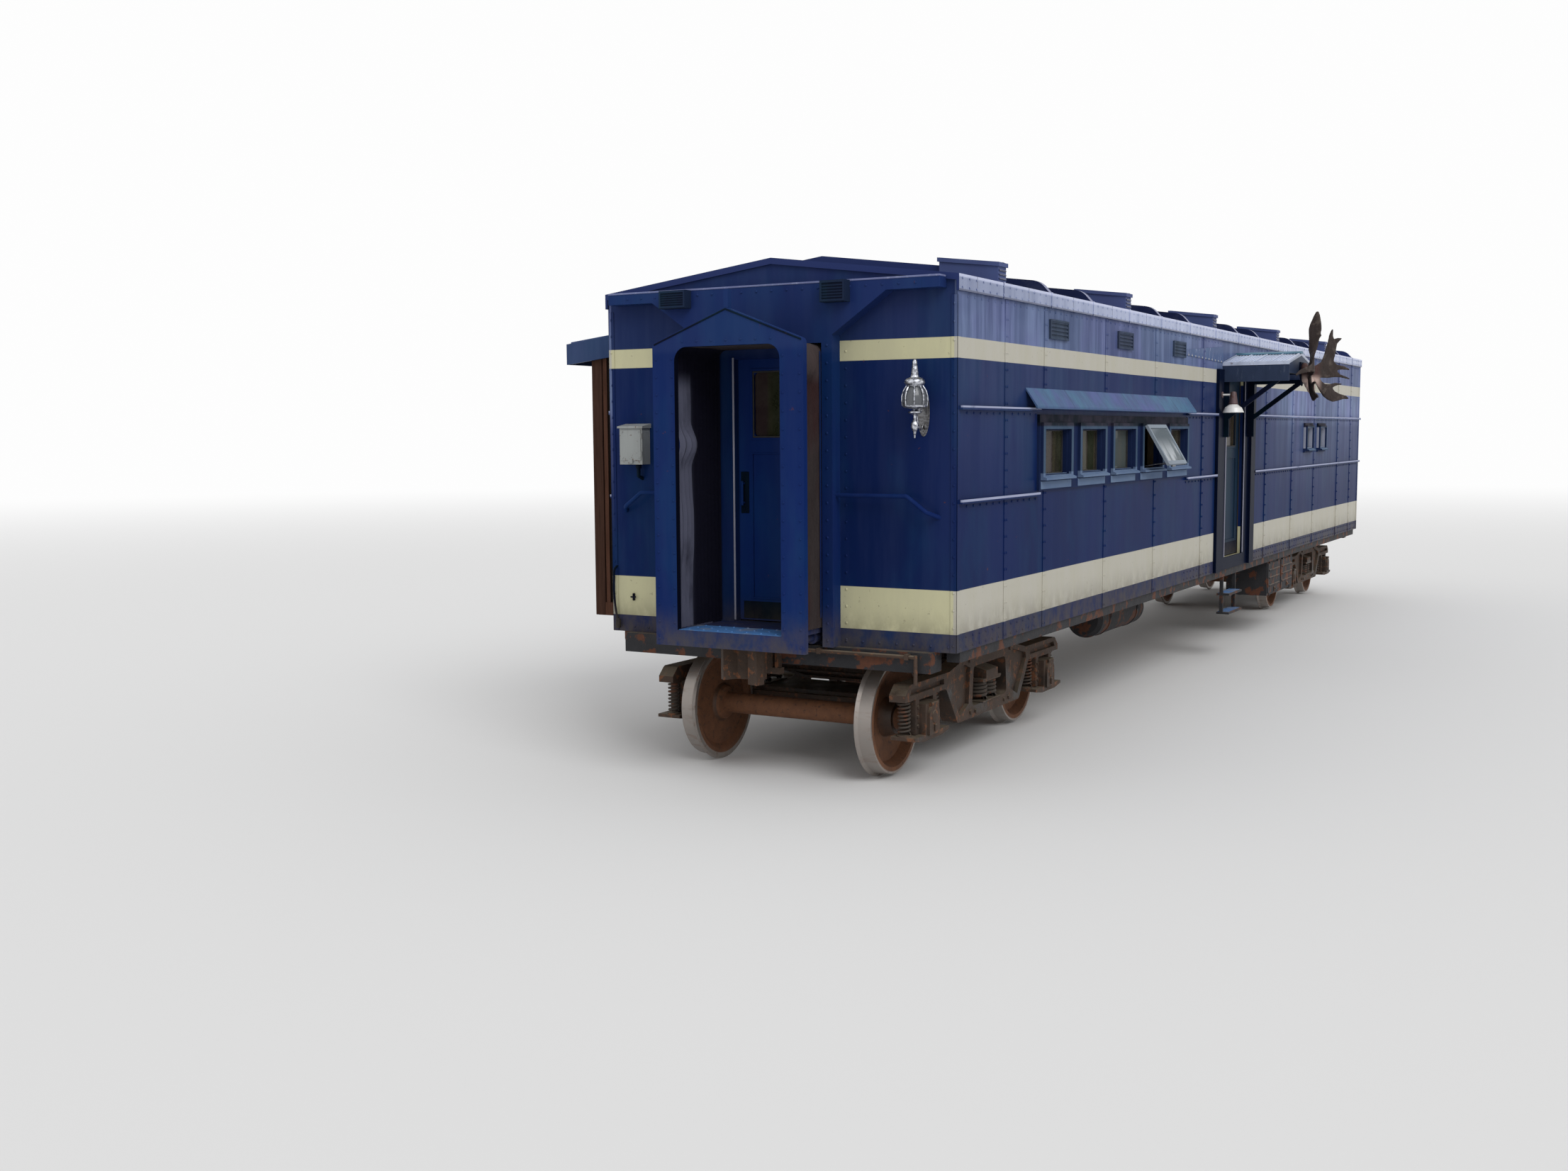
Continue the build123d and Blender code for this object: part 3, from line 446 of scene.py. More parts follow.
class Finish:
    """A material, the nodes of which all come from one method, and its shader's sockets by name."""

    def __init__(self, name, **constants):
        self.material = bpy.data.materials.new(name)
        self.material.use_nodes = True
        self.tree = self.material.node_tree
        self.shader = self.tree.nodes["Principled BSDF"]
        for key, value in constants.items():
            self.shader.inputs[key.replace("_", " ")].default_value = value
        self.place = self.node("TexCoord", output="Object")
        facing = self.node("TexCoord", output="Normal")
        self.x, self.y, self.z = self.parts(self.place)
        self.aside, self.along, self.up = self.parts(facing)

    def node(self, kind, settings=None, inputs=None, output=0):
        """Adds one node: its settings first, then the values or links of its sockets."""
        made = self.tree.nodes.new("ShaderNode" + kind)
        for key, value in (settings or {}).items():
            setattr(made, key, value)
        for key, value in (inputs or {}).items():
            self.feed(made.inputs[key], value)
        return Wire(self, made.outputs[output])

    def parts(self, vector):
        """The three numbers of a vector."""
        return [self.node("SeparateXYZ", inputs={0: vector}, output=axis) for axis in "XYZ"]

    def feed(self, socket, value):
        """Links a wire to a socket, or sets the socket's own value."""
        if isinstance(value, Wire):
            self.tree.links.new(value.socket, socket)
        elif socket.type == "RGBA" and len(value) == 3:
            socket.default_value = (*value, 1)
        else:
            socket.default_value = value

    def noise(self, scale, stretch=(1, 1, 1), detail=3.0, rough=0.55, shift=0.0):
        """Cloudy noise about 0.5, slower along an axis whose stretch is small."""
        moved = self.node("VectorMath", {"operation": "MULTIPLY_ADD"},
                          {0: self.place, 1: stretch, 2: (shift, shift, shift)})
        settings = {"Vector": moved, "Scale": scale, "Detail": detail, "Roughness": rough}
        return self.node("TexNoise", None, settings)

    def specks(self, scale, threshold, soft=0.04, shift=0.0):
        """Patches where noise passes a threshold."""
        return self.noise(scale, (1, 1, 1), 4, 0.6, shift).above(threshold, soft)

    def mix(self, factor, low, high):
        """A colour between two others."""
        return self.node("Mix", {"data_type": "RGBA"}, {0: factor, 6: low, 7: high}, output=2)

    def threads(self, scale, distortion):
        """Both ways of a plain weave."""
        wave = {"Vector": self.place, "Scale": scale, "Distortion": distortion}
        return [self.node("TexWave", {"bands_direction": axis}, wave) for axis in "ZY"]

    def wire(self, **sockets):
        """Feeds the shader's sockets by their names."""
        for key, value in sockets.items():
            self.feed(self.shader.inputs[key.replace("_", " ")], value)

    def bump(self, height, distance, strength=1.0):
        """Raises the surface by the height times the distance."""
        settings = {"Strength": strength, "Distance": distance, "Height": height}
        self.feed(self.shader.inputs["Normal"], self.node("Bump", None, settings))


DIRT = (0.09, 0.075, 0.055)
RUST = (0.16, 0.05, 0.02)
# Pale of chalked paint, and of the painted sky sheen on the sides
CHALK_AND_SKY_SHEEN = (0.19, 0.25, 0.42)
# Pale of worn paint chips, and of the painted highlights along the belt rails
WEAR_AND_HIGHLIGHT = (0.34, 0.37, 0.52)

# Half width inside the gangway's canvas, where the end wall stays plain
PASSAGE = 0.466


def times(colour, factor):
    """A colour, or a noise's stretch, multiplied by a factor."""
    return tuple(factor * part for part in colour)


def on_side(f):
    """1 on the outer face of the side walls and on all that stands on it."""
    return abs(f.x).above(HALF_WIDTH - 0.02, 0.001)


def round_car(f):
    """Distance rearwards on the right and forwards on the left: the same place on both sides of the car."""
    return f.y * (f.x.above(0.0, 0.1) * 2 - 1)


def sheet_tone(f):
    """A chance value for each sheet of the sides, between one seam and the next."""
    run = round_car(f)
    number = 0.5
    for seam in sorted(SEAMS_ADDED + SEAMS_IN_FRAME):
        number = number + run.above(from_front(seam))
    return f.node("TexWhiteNoise", {"noise_dimensions": "1D"}, {"W": number})


def chalked(f, colour, amount):
    """Paint gone pale in upright streaks and clouds, and a painted sky sheen: over the stripe on the sides,
    growing upwards and farther along the car, and less elsewhere.
    """
    streak = f.noise(7, (1, 1, 0.09), 4, 0.65).above(0.52, 0.16)
    cloud = f.noise(0.9, (1, 1, 1.6), 3, 0.5, 7).above(0.48, 0.2)
    over = f.z.above(EAVE - 0.5, 0.03)
    # Painted sky sheen: it thins out downwards, and bleached makes the side paler farther along the car by a
    # painted sheen, not by sun
    sheen_fading = f.z.above(EAVE - 1.1, 0.55) * (1 - over)
    bleached = round_car(f).above(2.2, 1.5) * f.z.above(EAVE - 1.6, 0.5)
    glare = f.z.above(EAVE - 0.95, 0.12)
    share = 0.006 + 0.09 * sheen_fading + 0.82 * over + (0.26 + 0.7 * glare) * bleached * (1 - over)
    share = share * (0.55 + 0.45 * streak) * (0.6 + 0.4 * cloud) * (0.8 + 0.4 * sheet_tone(f))
    side = on_side(f)
    share = share * side + (0.01 + 0.03 * streak) * (1 - 0.6 * side) + 0.05 * over * (1 - side)
    violet = f.mix(f.noise(1.3, (1, 1, 0.7), 3, 0.5, 21).above(0.5, 0.1) * 0.5, CHALK_AND_SKY_SHEEN, (0.2, 0.21, 0.45))
    return f.mix(share * amount, colour, violet)


def soiled(f, colour, from_z, height):
    """Splashed dirt that thins out upwards from a level."""
    band = 1 - f.z.above(from_z + height / 2, height / 2)
    spots = f.noise(9, (1, 1, 0.6), 5, 0.7, 3)
    return f.mix(band * spots.above(0.42, 0.22) * 0.75, colour, DIRT)


def rusted(f, colour, scale, threshold, amount=0.8):
    """Spots of rust where noise passes a threshold."""
    patch = f.specks(scale, threshold, 0.03, shift=11)
    tone = f.mix(f.noise(scale * 4, shift=2), RUST, (0.05, 0.022, 0.014))
    return f.mix(patch * amount, colour, tone)


def striped(f, colour, paint):
    """Lays both cream stripes over the blue, with gaps at the side doorways and inside the gangways."""
    edge = 0.0025
    level = f.z + f.noise(0.7, (1, 1, 0), 1) * 0.006 - 0.003
    upper = level.within(EAVE - paint.upper_bottom, EAVE - paint.upper_top, edge)
    lower = level.within(EAVE - paint.lower_bottom, EAVE - paint.lower_top, edge)
    side = on_side(f)
    near_door = abs(f.y).below(paint.doorway_gap, edge)
    in_gangway = abs(f.x).below(PASSAGE, 0.0015)
    band = (upper + lower) * (1 - side * near_door) * (1 - (1 - side) * in_gangway)
    # On the sides the cream is mixed towards a paler grey: a painted sky sheen
    cream = f.mix(side * 0.8, tuple(paint.stripe), (0.45, 0.435, 0.42))
    grime = f.noise(5, (1, 1, 0.25), 5, 0.7, 5)
    cream = f.mix(grime.above(0.5, 0.25) * 0.35, cream, (0.42, 0.4, 0.29))
    cream = f.mix(f.specks(26, 0.68, 0.02) * 0.45, cream, (0.22, 0.19, 0.14))
    return f.mix(band, colour, cream)


def belt_shine(f, colour):
    """Painted highlights along the edges of both belt rails, broken up by noise."""
    rail = abs(f.x).above(HALF_WIDTH + 0.02, 0.002)
    edge = f.z.within(EAVE - 0.908, EAVE - 0.89) + f.z.within(EAVE - 1.561, EAVE - 1.54)
    # worn is noise that breaks up the painted highlight, not wear
    worn = f.noise(3, (1, 1, 1), 4, 0.6, 17).above(0.36, 0.1)
    return f.mix(rail * edge * (0.35 + 0.65 * worn), colour, WEAR_AND_HIGHLIGHT)


def round_doorways(f, colour):
    """Darker colour, in place of the chalk and sheen, on the stretch round each side doorway, and boards on
    the walls' inner faces.
    """
    doorway = abs(f.y).below(0.87, 0.004) * on_side(f) * f.z.below(EAVE - 0.42, 0.002)
    tone = f.mix(doorway, colour, (0.003, 0.006, 0.02))
    inside = abs(f.x).below(HALF_WIDTH - 0.05) * abs(f.y).below(HALF_LENGTH - 0.06)
    lining = f.mix(f.y.repeat(0.6).below(0.004, 0.001), (0.1, 0.075, 0.05), (0.03, 0.022, 0.015))
    return f.mix(inside, tone, lining)


def shade_in_gangway(f, colour):
    """Painted shade on the faces of the gangway's frame that look into the passage or down on it."""
    near_passage = abs(f.x).below(0.44, 0.003)
    faces = abs(f.aside).above(0.5, 0.1) * near_passage + f.up.below(-0.5, 0.1) * near_passage
    dark = faces * abs(f.y).above(HALF_LENGTH + 0.55, 0.02) * f.z.below(EAVE - 0.45, 0.01)
    return f.mix(dark, colour, (0.004, 0.005, 0.012))


def enamel(name, colour, paint=None, gloss=0.3, chalk_and_sheen=1.0, bare=0.0, gangway=False):
    """Brushed enamel on steel sheet: chalky with a painted sky sheen above, soiled below, faintly waved;
    stripes and painted highlights on the belt rails if paint is given.
    """
    f = Finish(name, IOR=1.5, Specular_IOR_Level=0.01, Coat_Roughness=0.22, Coat_IOR=1.5)
    tone = f.mix(f.noise(1.4, (1, 1, 0.5), 2, 0.5, 4), times(colour, 0.7), times(colour, 1.2))
    teal = tuple(c + d for c, d in zip(colour, (0.0, 0.014, 0.012)))
    tone = f.mix(f.noise(2.6, (1, 1, 0.4), 4, 0.6, 9).above(0.55, 0.12) * 0.5, tone, teal)
    tone = chalked(f, tone, chalk_and_sheen)
    if paint:
        tone = striped(f, tone, paint)
        tone = belt_shine(f, tone)
    tone = soiled(f, tone, SILL - 0.05, 0.4)
    tone = rusted(f, tone, 14, 0.745, 0.5)
    if paint:
        tone = round_doorways(f, tone)
    if gangway:
        tone = shade_in_gangway(f, tone)
    if bare:
        chips = f.noise(24, (1, 1, 0.3), 5, 0.7, 13).above(0.62 - 0.1 * bare, 0.05)
        tone = f.mix(chips * 0.5, tone, WEAR_AND_HIGHLIGHT)
    worn = f.noise(3.3, (1, 1, 0.3), 4, 0.6, 6)
    f.wire(Base_Color=tone, Roughness=gloss + 0.14 * worn, Coat_Weight=0.02 + 0.05 * worn)
    wave = f.noise(1.1, (1, 1, 1), 1, 0.4, 8)
    brush = f.noise(60, (1, 1, 0.15), 2, 0.5)
    f.bump(wave + brush * 0.008, 0.012, 0.6)
    return f.material


def trim_paint(name, colour):
    """Window trim: pale steel sill with a painted highlight on faces that turn up, dull teal faces, dark navy
    reveals and posts, a dark head that is the hood's painted shadow, and a painted sky sheen on the far
    lights' frames.
    """
    f = Finish(name, Specular_IOR_Level=0.01, Coat_Roughness=0.25)
    cloud = f.noise(3, (1, 1, 0.5), 4, 0.6)
    navy = f.mix(cloud, (0.006, 0.012, 0.045), (0.02, 0.034, 0.095))
    teal = f.mix(f.noise(9, (1, 1, 0.2), 4), (0.026, 0.052, 0.095), (0.072, 0.112, 0.175))
    pale = f.mix(f.noise(8, (1, 0.4, 1), 4), colour, (0.2, 0.27, 0.38))
    face = abs(f.x).above(HALF_WIDTH + 0.024, 0.0015)
    tone = f.mix(face * abs(f.aside).above(0.7, 0.1), navy, teal)
    # Painted sky sheen on the frames of the far lights
    far = round_car(f).above(3.4, 0.1) * (1 - face) * f.z.within(EAVE - 1.32, EAVE - 1.04)
    tone = f.mix(far * 0.85, tone, (0.36, 0.38, 0.46))
    # Pale sill: the foot's paler paint, and a painted highlight on every face that turns up
    foot = f.z.below(EAVE - 1.4, 0.004) * face
    light = f.node("Math", {"operation": "MAXIMUM"}, {0: f.up.above(0.3, 0.1), 1: foot * 0.8})
    tone = f.mix(light, tone, pale)
    # Painted shadow of the hood across the trim's head, in dark brown patches
    head = f.z.above(EAVE - 1.035, 0.012)
    patch = f.noise(4, (1, 1, 1), 4, 0.6, 3).above(0.5, 0.12)
    brown = f.mix(patch, (0.004, 0.008, 0.014), (0.03, 0.027, 0.042))
    tone = f.mix(head * 0.95, tone, brown)
    tone = rusted(f, tone, 30, 0.72, 0.4)
    f.wire(Base_Color=tone, Roughness=0.4 + 0.2 * cloud, Coat_Weight=0.02 * cloud)
    f.bump(f.noise(50, (1, 1, 0.3)), 0.0008)
    return f.material


def hood_paint(name, colour):
    """Drip hoods: hazy blue in blotches of violet and teal, streaked downwards."""
    f = Finish(name, Specular_IOR_Level=0.03, Coat_Roughness=0.25)
    blotch = f.noise(2.1, (1, 1, 1), 3, 0.5, 3)
    tone = f.mix(blotch.above(0.56, 0.1) * 0.8, colour, (0.1, 0.115, 0.3))
    tone = f.mix(blotch.below(0.44, 0.1) * 0.8, tone, (0.065, 0.17, 0.27))
    streak = f.noise(9, (1, 1, 0.06), 4, 0.65, 6).above(0.52, 0.14)
    tone = f.mix(streak * 0.35, tone, (0.025, 0.045, 0.13))
    joint = f.y.repeat(1.5, 0.4).below(0.004, 0.002)
    tone = f.mix(joint * 0.8, tone, (0.015, 0.025, 0.06))
    tone = rusted(f, tone, 22, 0.72, 0.4)
    f.wire(Base_Color=tone, Roughness=0.4 + 0.2 * blotch, Coat_Weight=0.03 + 0.05 * streak)
    f.bump(blotch + f.noise(60) * 0.02, 0.008, 0.5)
    return f.material


def roof_paint(name, paint, gleam=0.5):
    """Roof enamel: dark sheet that mirrors the sky, with a painted reflection on its rim; on the turned-down
    lip a painted sky sheen, brighter farther along the car, a painted highlight along its top and a painted
    shadow at its foot.
    """
    f = Finish(name, IOR=1.5, Specular_IOR_Level=0.1, Coat_Roughness=0.2)
    base = tuple(paint.roof)
    tone = f.mix(f.noise(1.6, (1, 1, 1), 4, 0.6), times(base, 0.6), times(base, 1.3))
    leaf = f.noise(3.1, (1, 1, 1), 5, 0.7, 4).above(0.58, 0.06)
    tone = f.mix(leaf * 0.22, tone, (0.06, 0.07, 0.11))
    if gleam:
        # Painted sky reflection on the roof's rim
        rim = abs(f.x).above(HALF_WIDTH - 0.1, 0.09) * f.up.above(0.6, 0.1)
        tone = f.mix(rim * 0.7, tone, (0.35, 0.37, 0.55))
    on_lip = abs(f.x).above(HALF_WIDTH + 0.004, 0.002) * f.z.below(EAVE + 0.002, 0.001)
    # Painted sky sheen on the lip, brighter farther along the car, and a painted highlight along the lip's
    # top
    streak = f.noise(6, (1, 1, 0.1), 4, 0.65).above(0.45, 0.2)
    near = f.mix(streak, (0.13, 0.165, 0.3), (0.21, 0.25, 0.4))
    distant = f.mix(streak, (0.27, 0.32, 0.5), (0.4, 0.45, 0.64))
    hazy = f.mix(round_car(f).above(-5.5, 2.5), near, distant)
    hazy = f.mix(f.z.above(EAVE - 0.022, 0.008) * 0.8, hazy, (0.55, 0.59, 0.8))
    tone = f.mix(on_lip * f.up.below(0.6, 0.1), tone, hazy)
    # Painted shadow along the lip's foot
    foot = on_lip * f.z.below(LIP + 0.012, 0.004)
    tone = f.mix(foot * 0.8, tone, (0.03, 0.04, 0.1))
    joint = on_lip * f.y.repeat(1.0, HALF_LENGTH - FIRST_ROOF_SEAM).below(0.006, 0.002)
    tone = f.mix(joint * 0.6, tone, (0.03, 0.035, 0.08))
    tone = rusted(f, tone, 9, 0.75, 0.4)
    gable = abs(f.along).above(0.7, 0.1) * abs(f.y).above(HALF_LENGTH - 0.9, 0.01)
    tone = f.mix(gable, tone, (0.02, 0.034, 0.125))
    coat = (gleam + 0.1 * leaf) * (1 - gable)
    f.wire(Base_Color=tone, Roughness=0.42 + 0.15 * f.noise(4), Coat_Weight=coat)
    f.bump(f.noise(1.3, (1, 1, 1), 2) + f.noise(70) * 0.01, 0.014, 0.6)
    return f.material


def bare_metal(name, light, dark, rough, rust=0.0):
    """Unpainted sheet, dulled by weather, streaked downwards and spotted with rust."""
    f = Finish(name, Specular_IOR_Level=0.5)
    tone = f.mix(f.noise(14, (1, 1, 0.3), 4), dark, light)
    tone = f.mix(f.specks(6, 0.6, 0.1) * 0.35, tone, times(dark, 0.5))
    tone = rusted(f, tone, 19, 0.66 - 0.2 * rust, 0.5 + 0.4 * rust)
    patina = f.noise(9, (1, 1, 0.3), 4)
    f.wire(Base_Color=tone, Metallic=0.6 - 0.4 * patina, Roughness=rough + 0.25 * patina)
    f.bump(f.noise(90) * 0.2 + f.noise(5, detail=2), 0.0015)
    return f.material


def awning_metal(name):
    """Pale galvanised sheet and seams on the slopes, dark navy boards at the edges, and a painted shade,
    nearly black, underneath.
    """
    f = Finish(name, Specular_IOR_Level=0.3)
    sheet = f.mix(f.noise(4, (1, 1, 1), 4), (0.46, 0.52, 0.66), (0.68, 0.73, 0.86))
    sheet = f.mix(f.x.repeat(0.034).below(0.004, 0.002) * 0.5, sheet, (0.2, 0.24, 0.34))
    sheet = rusted(f, sheet, 12, 0.74, 0.3)
    navy = f.mix(f.noise(9, (1, 1, 0.4), 4), (0.008, 0.018, 0.045), (0.028, 0.046, 0.1))
    navy = f.mix(f.noise(30, (1, 1, 0.2), 4, 0.7, 5).above(0.64, 0.05) * 0.4, navy, (0.08, 0.1, 0.15))
    slope = (f.z + abs(f.y) * AWNING_SLOPE).above(EAVE - AWNING_CROWN - 0.022, 0.002)
    tone = f.mix(slope, navy, sheet)
    # Painted shade on every face that looks down
    under = f.up.below(-0.3, 0.1)
    tone = f.mix(under, tone, (0.008, 0.008, 0.012))
    f.wire(Base_Color=tone, Metallic=0.2 * slope, Roughness=0.55 - 0.16 * slope)
    f.bump(f.noise(60) * 0.1 + f.noise(3, detail=2), 0.003)
    return f.material


def window_pane(name):
    """Old glass, nearly opaque from outside, its colour painted reflection: olive and brown bands of
    reflected trees behind dust, greyer in one light, a pale painted sky sheen in the far lights, and painted
    sky on the hung sash.
    """
    f = Finish(name, IOR=1.5, Specular_IOR_Level=0.03)
    dust = f.noise(3, (1, 1, 1), 5, 0.7)
    band = f.noise(4.5, (1, 1, 0.05), 3, 0.5, 5)
    # The olive and brown bands are painted reflections of trees
    tone = f.mix(band.above(0.5, 0.08), (0.02, 0.024, 0.012), (0.035, 0.022, 0.024))
    tone = f.mix(f.noise(7, (1, 1, 0.04), 2, 0.5, 8).above(0.58, 0.06) * 0.5, tone, (0.06, 0.055, 0.03))
    run = round_car(f)
    # One light is greyer: a painted reflection
    grey = run.within(-4.45, -3.85, 0.02)
    tone = f.mix(grey * 0.9, tone, f.mix(band, (0.05, 0.085, 0.1), (0.12, 0.11, 0.09)))
    # Painted sky sheen on the far lights
    far = run.above(3.4, 0.1) * abs(f.x).above(HALF_WIDTH - 0.2)
    tone = f.mix(far * 0.85, tone, (0.42, 0.44, 0.52))
    tone = f.mix(dust.above(0.55, 0.15) * 0.25, tone, (0.1, 0.095, 0.07))
    # Painted sky reflection on the hung sash's pane, pale in bands low down
    hung = abs(f.x).above(HALF_WIDTH + 0.02, 0.005)
    sky = f.mix(f.z.below(EAVE - 1.22, 0.1) * band.above(0.45, 0.1), (0.16, 0.19, 0.21), (0.62, 0.66, 0.7))
    tone = f.mix(hung * 0.9, tone, sky)
    f.wire(Base_Color=tone, Roughness=0.05 + 0.12 * dust.above(0.55, 0.2), Alpha=0.9 + 0.08 * dust)
    f.bump(f.noise(2.2, (1, 1, 1), 1), 0.004, 0.4)
    return f.material


def canvas(name):
    """Rubberised canvas: brown outside; inside, dark canvas made paler where light reaches its mouth and
    blue-black deeper in, a painted light and a painted shade.
    """
    f = Finish(name, Specular_IOR_Level=0.08, Sheen_Weight=0.02, Sheen_Roughness=0.5)
    weave, weft = f.threads(90, 0.6)
    brown = f.mix(f.noise(5, (1, 1, 0.5), 5, 0.7), (0.02, 0.015, 0.016), (0.075, 0.06, 0.06))
    brown = f.mix(f.noise(2.2, (1, 1, 0.3), 3, 0.6, 5).above(0.52, 0.1) * 0.6, brown, (0.05, 0.014, 0.014))
    roll = f.z.above(EAVE - 0.7, 0.05)
    brown = f.mix(roll * 0.5, brown, (0.1, 0.085, 0.085))
    outside = (f.x * f.aside).above(0.0, 0.1)
    # Painted light at the passage's mouth and painted shade deeper in, over the dark inner canvas
    mouth = abs(f.y).above(HALF_LENGTH + 0.41, 0.03) * f.z.below(EAVE - 0.7, 0.08)
    patch = f.noise(6, (1, 1, 0.3), 4, 0.6, 8).above(0.3, 0.2)
    inner = f.mix(mouth * patch, (0.004, 0.004, 0.014), (0.11, 0.115, 0.17))
    tone = f.mix(outside, inner, brown)
    tone = f.mix(weave * 0.12, tone, (0.03, 0.027, 0.025))
    f.wire(Base_Color=tone, Roughness=0.82)
    f.bump(weave + weft + f.noise(12, detail=4) * 6, 0.0012)
    return f.material


def curtain_cloth(name):
    """Cream cotton, plain weave, sunned in bands."""
    f = Finish(name, Specular_IOR_Level=0.15, Sheen_Weight=0.3, Sheen_Roughness=0.5)
    weave, weft = f.threads(260, 0.3)
    tone = f.mix(f.noise(9, (1, 1, 0.4), 4), (0.52, 0.44, 0.3), (0.74, 0.67, 0.5))
    tone = f.mix(weave * weft * 0.2, tone, (0.3, 0.25, 0.17))
    f.wire(Base_Color=tone, Roughness=0.85)
    f.bump(weave + weft, 0.0004)
    return f.material


def black_steel(name, colour=(0.014, 0.014, 0.016), dust=0.6):
    """Matt black steel under the floor, with road dust on what faces up and rust at the edges."""
    f = Finish(name, Specular_IOR_Level=0.3)
    tone = f.mix(f.noise(6, detail=4), colour, times(colour, 2.2))
    tone = rusted(f, tone, 7, 0.56, 0.85)
    lying = f.up.above(0.4, 0.4) * f.noise(8, detail=5, shift=2).above(0.35, 0.2)
    tone = f.mix(lying * dust, tone, (0.16, 0.13, 0.1))
    f.wire(Base_Color=tone, Roughness=0.62 + 0.25 * f.noise(11))
    f.bump(f.noise(45, detail=5) + f.noise(9) * 2, 0.0022)
    return f.material


def cast_steel(name):
    """Sand-cast steel, brown with rust, oily round the boxes and dusty on top."""
    f = Finish(name, Specular_IOR_Level=0.35)
    tone = f.mix(f.noise(5, detail=5, rough=0.7), (0.024, 0.019, 0.016), (0.085, 0.05, 0.033))
    tone = f.mix(f.specks(16, 0.6, 0.05) * 0.7, tone, (0.2, 0.075, 0.03))
    oily = f.z.within(0.3, 0.6, 0.05) * f.noise(2.4, detail=3, shift=6).above(0.55, 0.1)
    tone = f.mix(oily * 0.8, tone, (0.01, 0.009, 0.008))
    lying = f.up.above(0.5, 0.3) * f.noise(7, detail=5, shift=3).above(0.35, 0.2)
    tone = f.mix(lying * 0.65, tone, (0.2, 0.165, 0.12))
    f.wire(Base_Color=tone, Roughness=0.72 - 0.4 * oily + 0.12 * f.noise(9))
    f.bump(f.noise(70, detail=6, rough=0.7) + f.noise(13, detail=3) * 2, 0.003)
    return f.material


def wheel_steel(name):
    """Wheel steel by distance from its axle: bright tread, rusty plate, oily hub."""
    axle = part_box("front_outer_wheelset")
    axle_z = (axle[0].z + axle[1].z) / 2
    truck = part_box("front_truck_bolster")
    truck_y = abs(truck[0].y + truck[1].y) / 2
    half_base = abs(abs(axle[0].y + axle[1].y) / 2 - truck_y)
    f = Finish(name, Specular_IOR_Level=0.4)
    along = abs(abs(abs(f.y) - truck_y) - half_base)
    up = f.z - axle_z
    radius = (along * along + up * up) ** 0.5
    rust = f.mix(f.noise(12, detail=5, rough=0.7), (0.05, 0.022, 0.013), (0.21, 0.085, 0.035))
    rust = f.mix(f.specks(30, 0.62) * 0.6, rust, (0.03, 0.02, 0.016))
    on_wheel = abs(f.x).within(0.675, 0.83)
    tread = radius.above(0.4, 0.006) * on_wheel * f.noise(18, (0.2, 1, 1), 4, shift=3).above(0.3, 0.2)
    hub = radius.below(0.15, 0.02) * on_wheel
    tone = f.mix(hub * 0.7, rust, (0.02, 0.017, 0.014))
    tone = f.mix(tread * 0.8, tone, (0.36, 0.34, 0.32))
    f.wire(Base_Color=tone, Metallic=0.75 * tread, Roughness=0.78 - 0.36 * tread - 0.3 * hub)
    f.bump(f.noise(60, detail=5) * (1 - tread), 0.0016)
    return f.material


def timber(name, light, dark, board, grain_axis="Z", across="Y"):
    """Boards with grain along one axis, joints every board width, each board its own tone."""
    f = Finish(name, Specular_IOR_Level=0.1)
    side = {"X": f.x, "Y": f.y, "Z": f.z}[across]
    number = side.math("FLOOR", side / board + 0.5)
    own = f.node("TexWhiteNoise", {"noise_dimensions": "1D"}, {"W": number})
    squeeze = {"X": (0.06, 1, 1), "Y": (1, 0.06, 1), "Z": (1, 1, 0.06)}[grain_axis]
    grain = f.noise(38, squeeze, 6, 0.7)
    figure = f.noise(5, times(squeeze, 0.5), 3, 0.5, 3)
    tone = f.mix(figure, dark, light)
    tone = f.mix(grain.above(0.55, 0.16) * 0.6, tone, times(dark, 0.4))
    tone = f.mix(own * 0.45, tone, times(light, 0.55))
    joint = side.repeat(board, board / 2).below(0.0035, 0.0015)
    tone = f.mix(joint, tone, (0.012, 0.008, 0.006))
    tone = f.mix(f.noise(2, (1, 1, 0.3), 3, shift=8).above(0.6, 0.1) * 0.35, tone, (0.07, 0.062, 0.056))
    f.wire(Base_Color=tone, Roughness=0.66 + 0.2 * grain)
    f.bump(grain * 0.5 - joint * 2, 0.003)
    return f.material


def white_enamel(name):
    f = Finish(name, Coat_Weight=0.4, Coat_Roughness=0.1)
    tone = f.mix(f.noise(9, detail=4), (0.72, 0.72, 0.69), (0.86, 0.86, 0.84))
    tone = rusted(f, tone, 40, 0.68, 0.7)
    f.wire(Base_Color=tone, Roughness=0.25 + 0.15 * f.noise(20))
    f.bump(f.noise(30), 0.0006)
    return f.material


def antler_horn(name):
    """Weathered antler: brown furrowed beam, bleached points and a pale pinkish nose bone."""
    root_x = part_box("awning_roof")[1].x
    f = Finish(name, Specular_IOR_Level=0.3, Subsurface_Scale=0.01)
    furrow = f.noise(34, (1, 1, 0.35), 5, 0.7)
    tone = f.mix(f.noise(6, detail=4), (0.014, 0.009, 0.008), (0.05, 0.034, 0.03))
    tone = f.mix(furrow.above(0.52, 0.12) * 0.6, tone, (0.02, 0.012, 0.01))
    tone = f.mix(f.noise(11, detail=3, shift=6).above(0.62, 0.08) * 0.4, tone, (0.15, 0.12, 0.1))
    middle = abs(f.y).below(0.12, 0.05) * f.x.below(root_x + 0.24, 0.05)
    tone = f.mix(middle * 0.7, tone, (0.06, 0.02, 0.017))
    bone = middle * f.z.below(EAVE - 0.5, 0.04)
    pale = f.mix(f.noise(16, detail=4, shift=9), (0.36, 0.22, 0.19), (0.68, 0.56, 0.5))
    tone = f.mix(bone, tone, pale)
    f.wire(Base_Color=tone, Roughness=0.58 + 0.2 * furrow)
    f.bump(furrow + f.noise(7) * 1.5, 0.006)
    return f.material


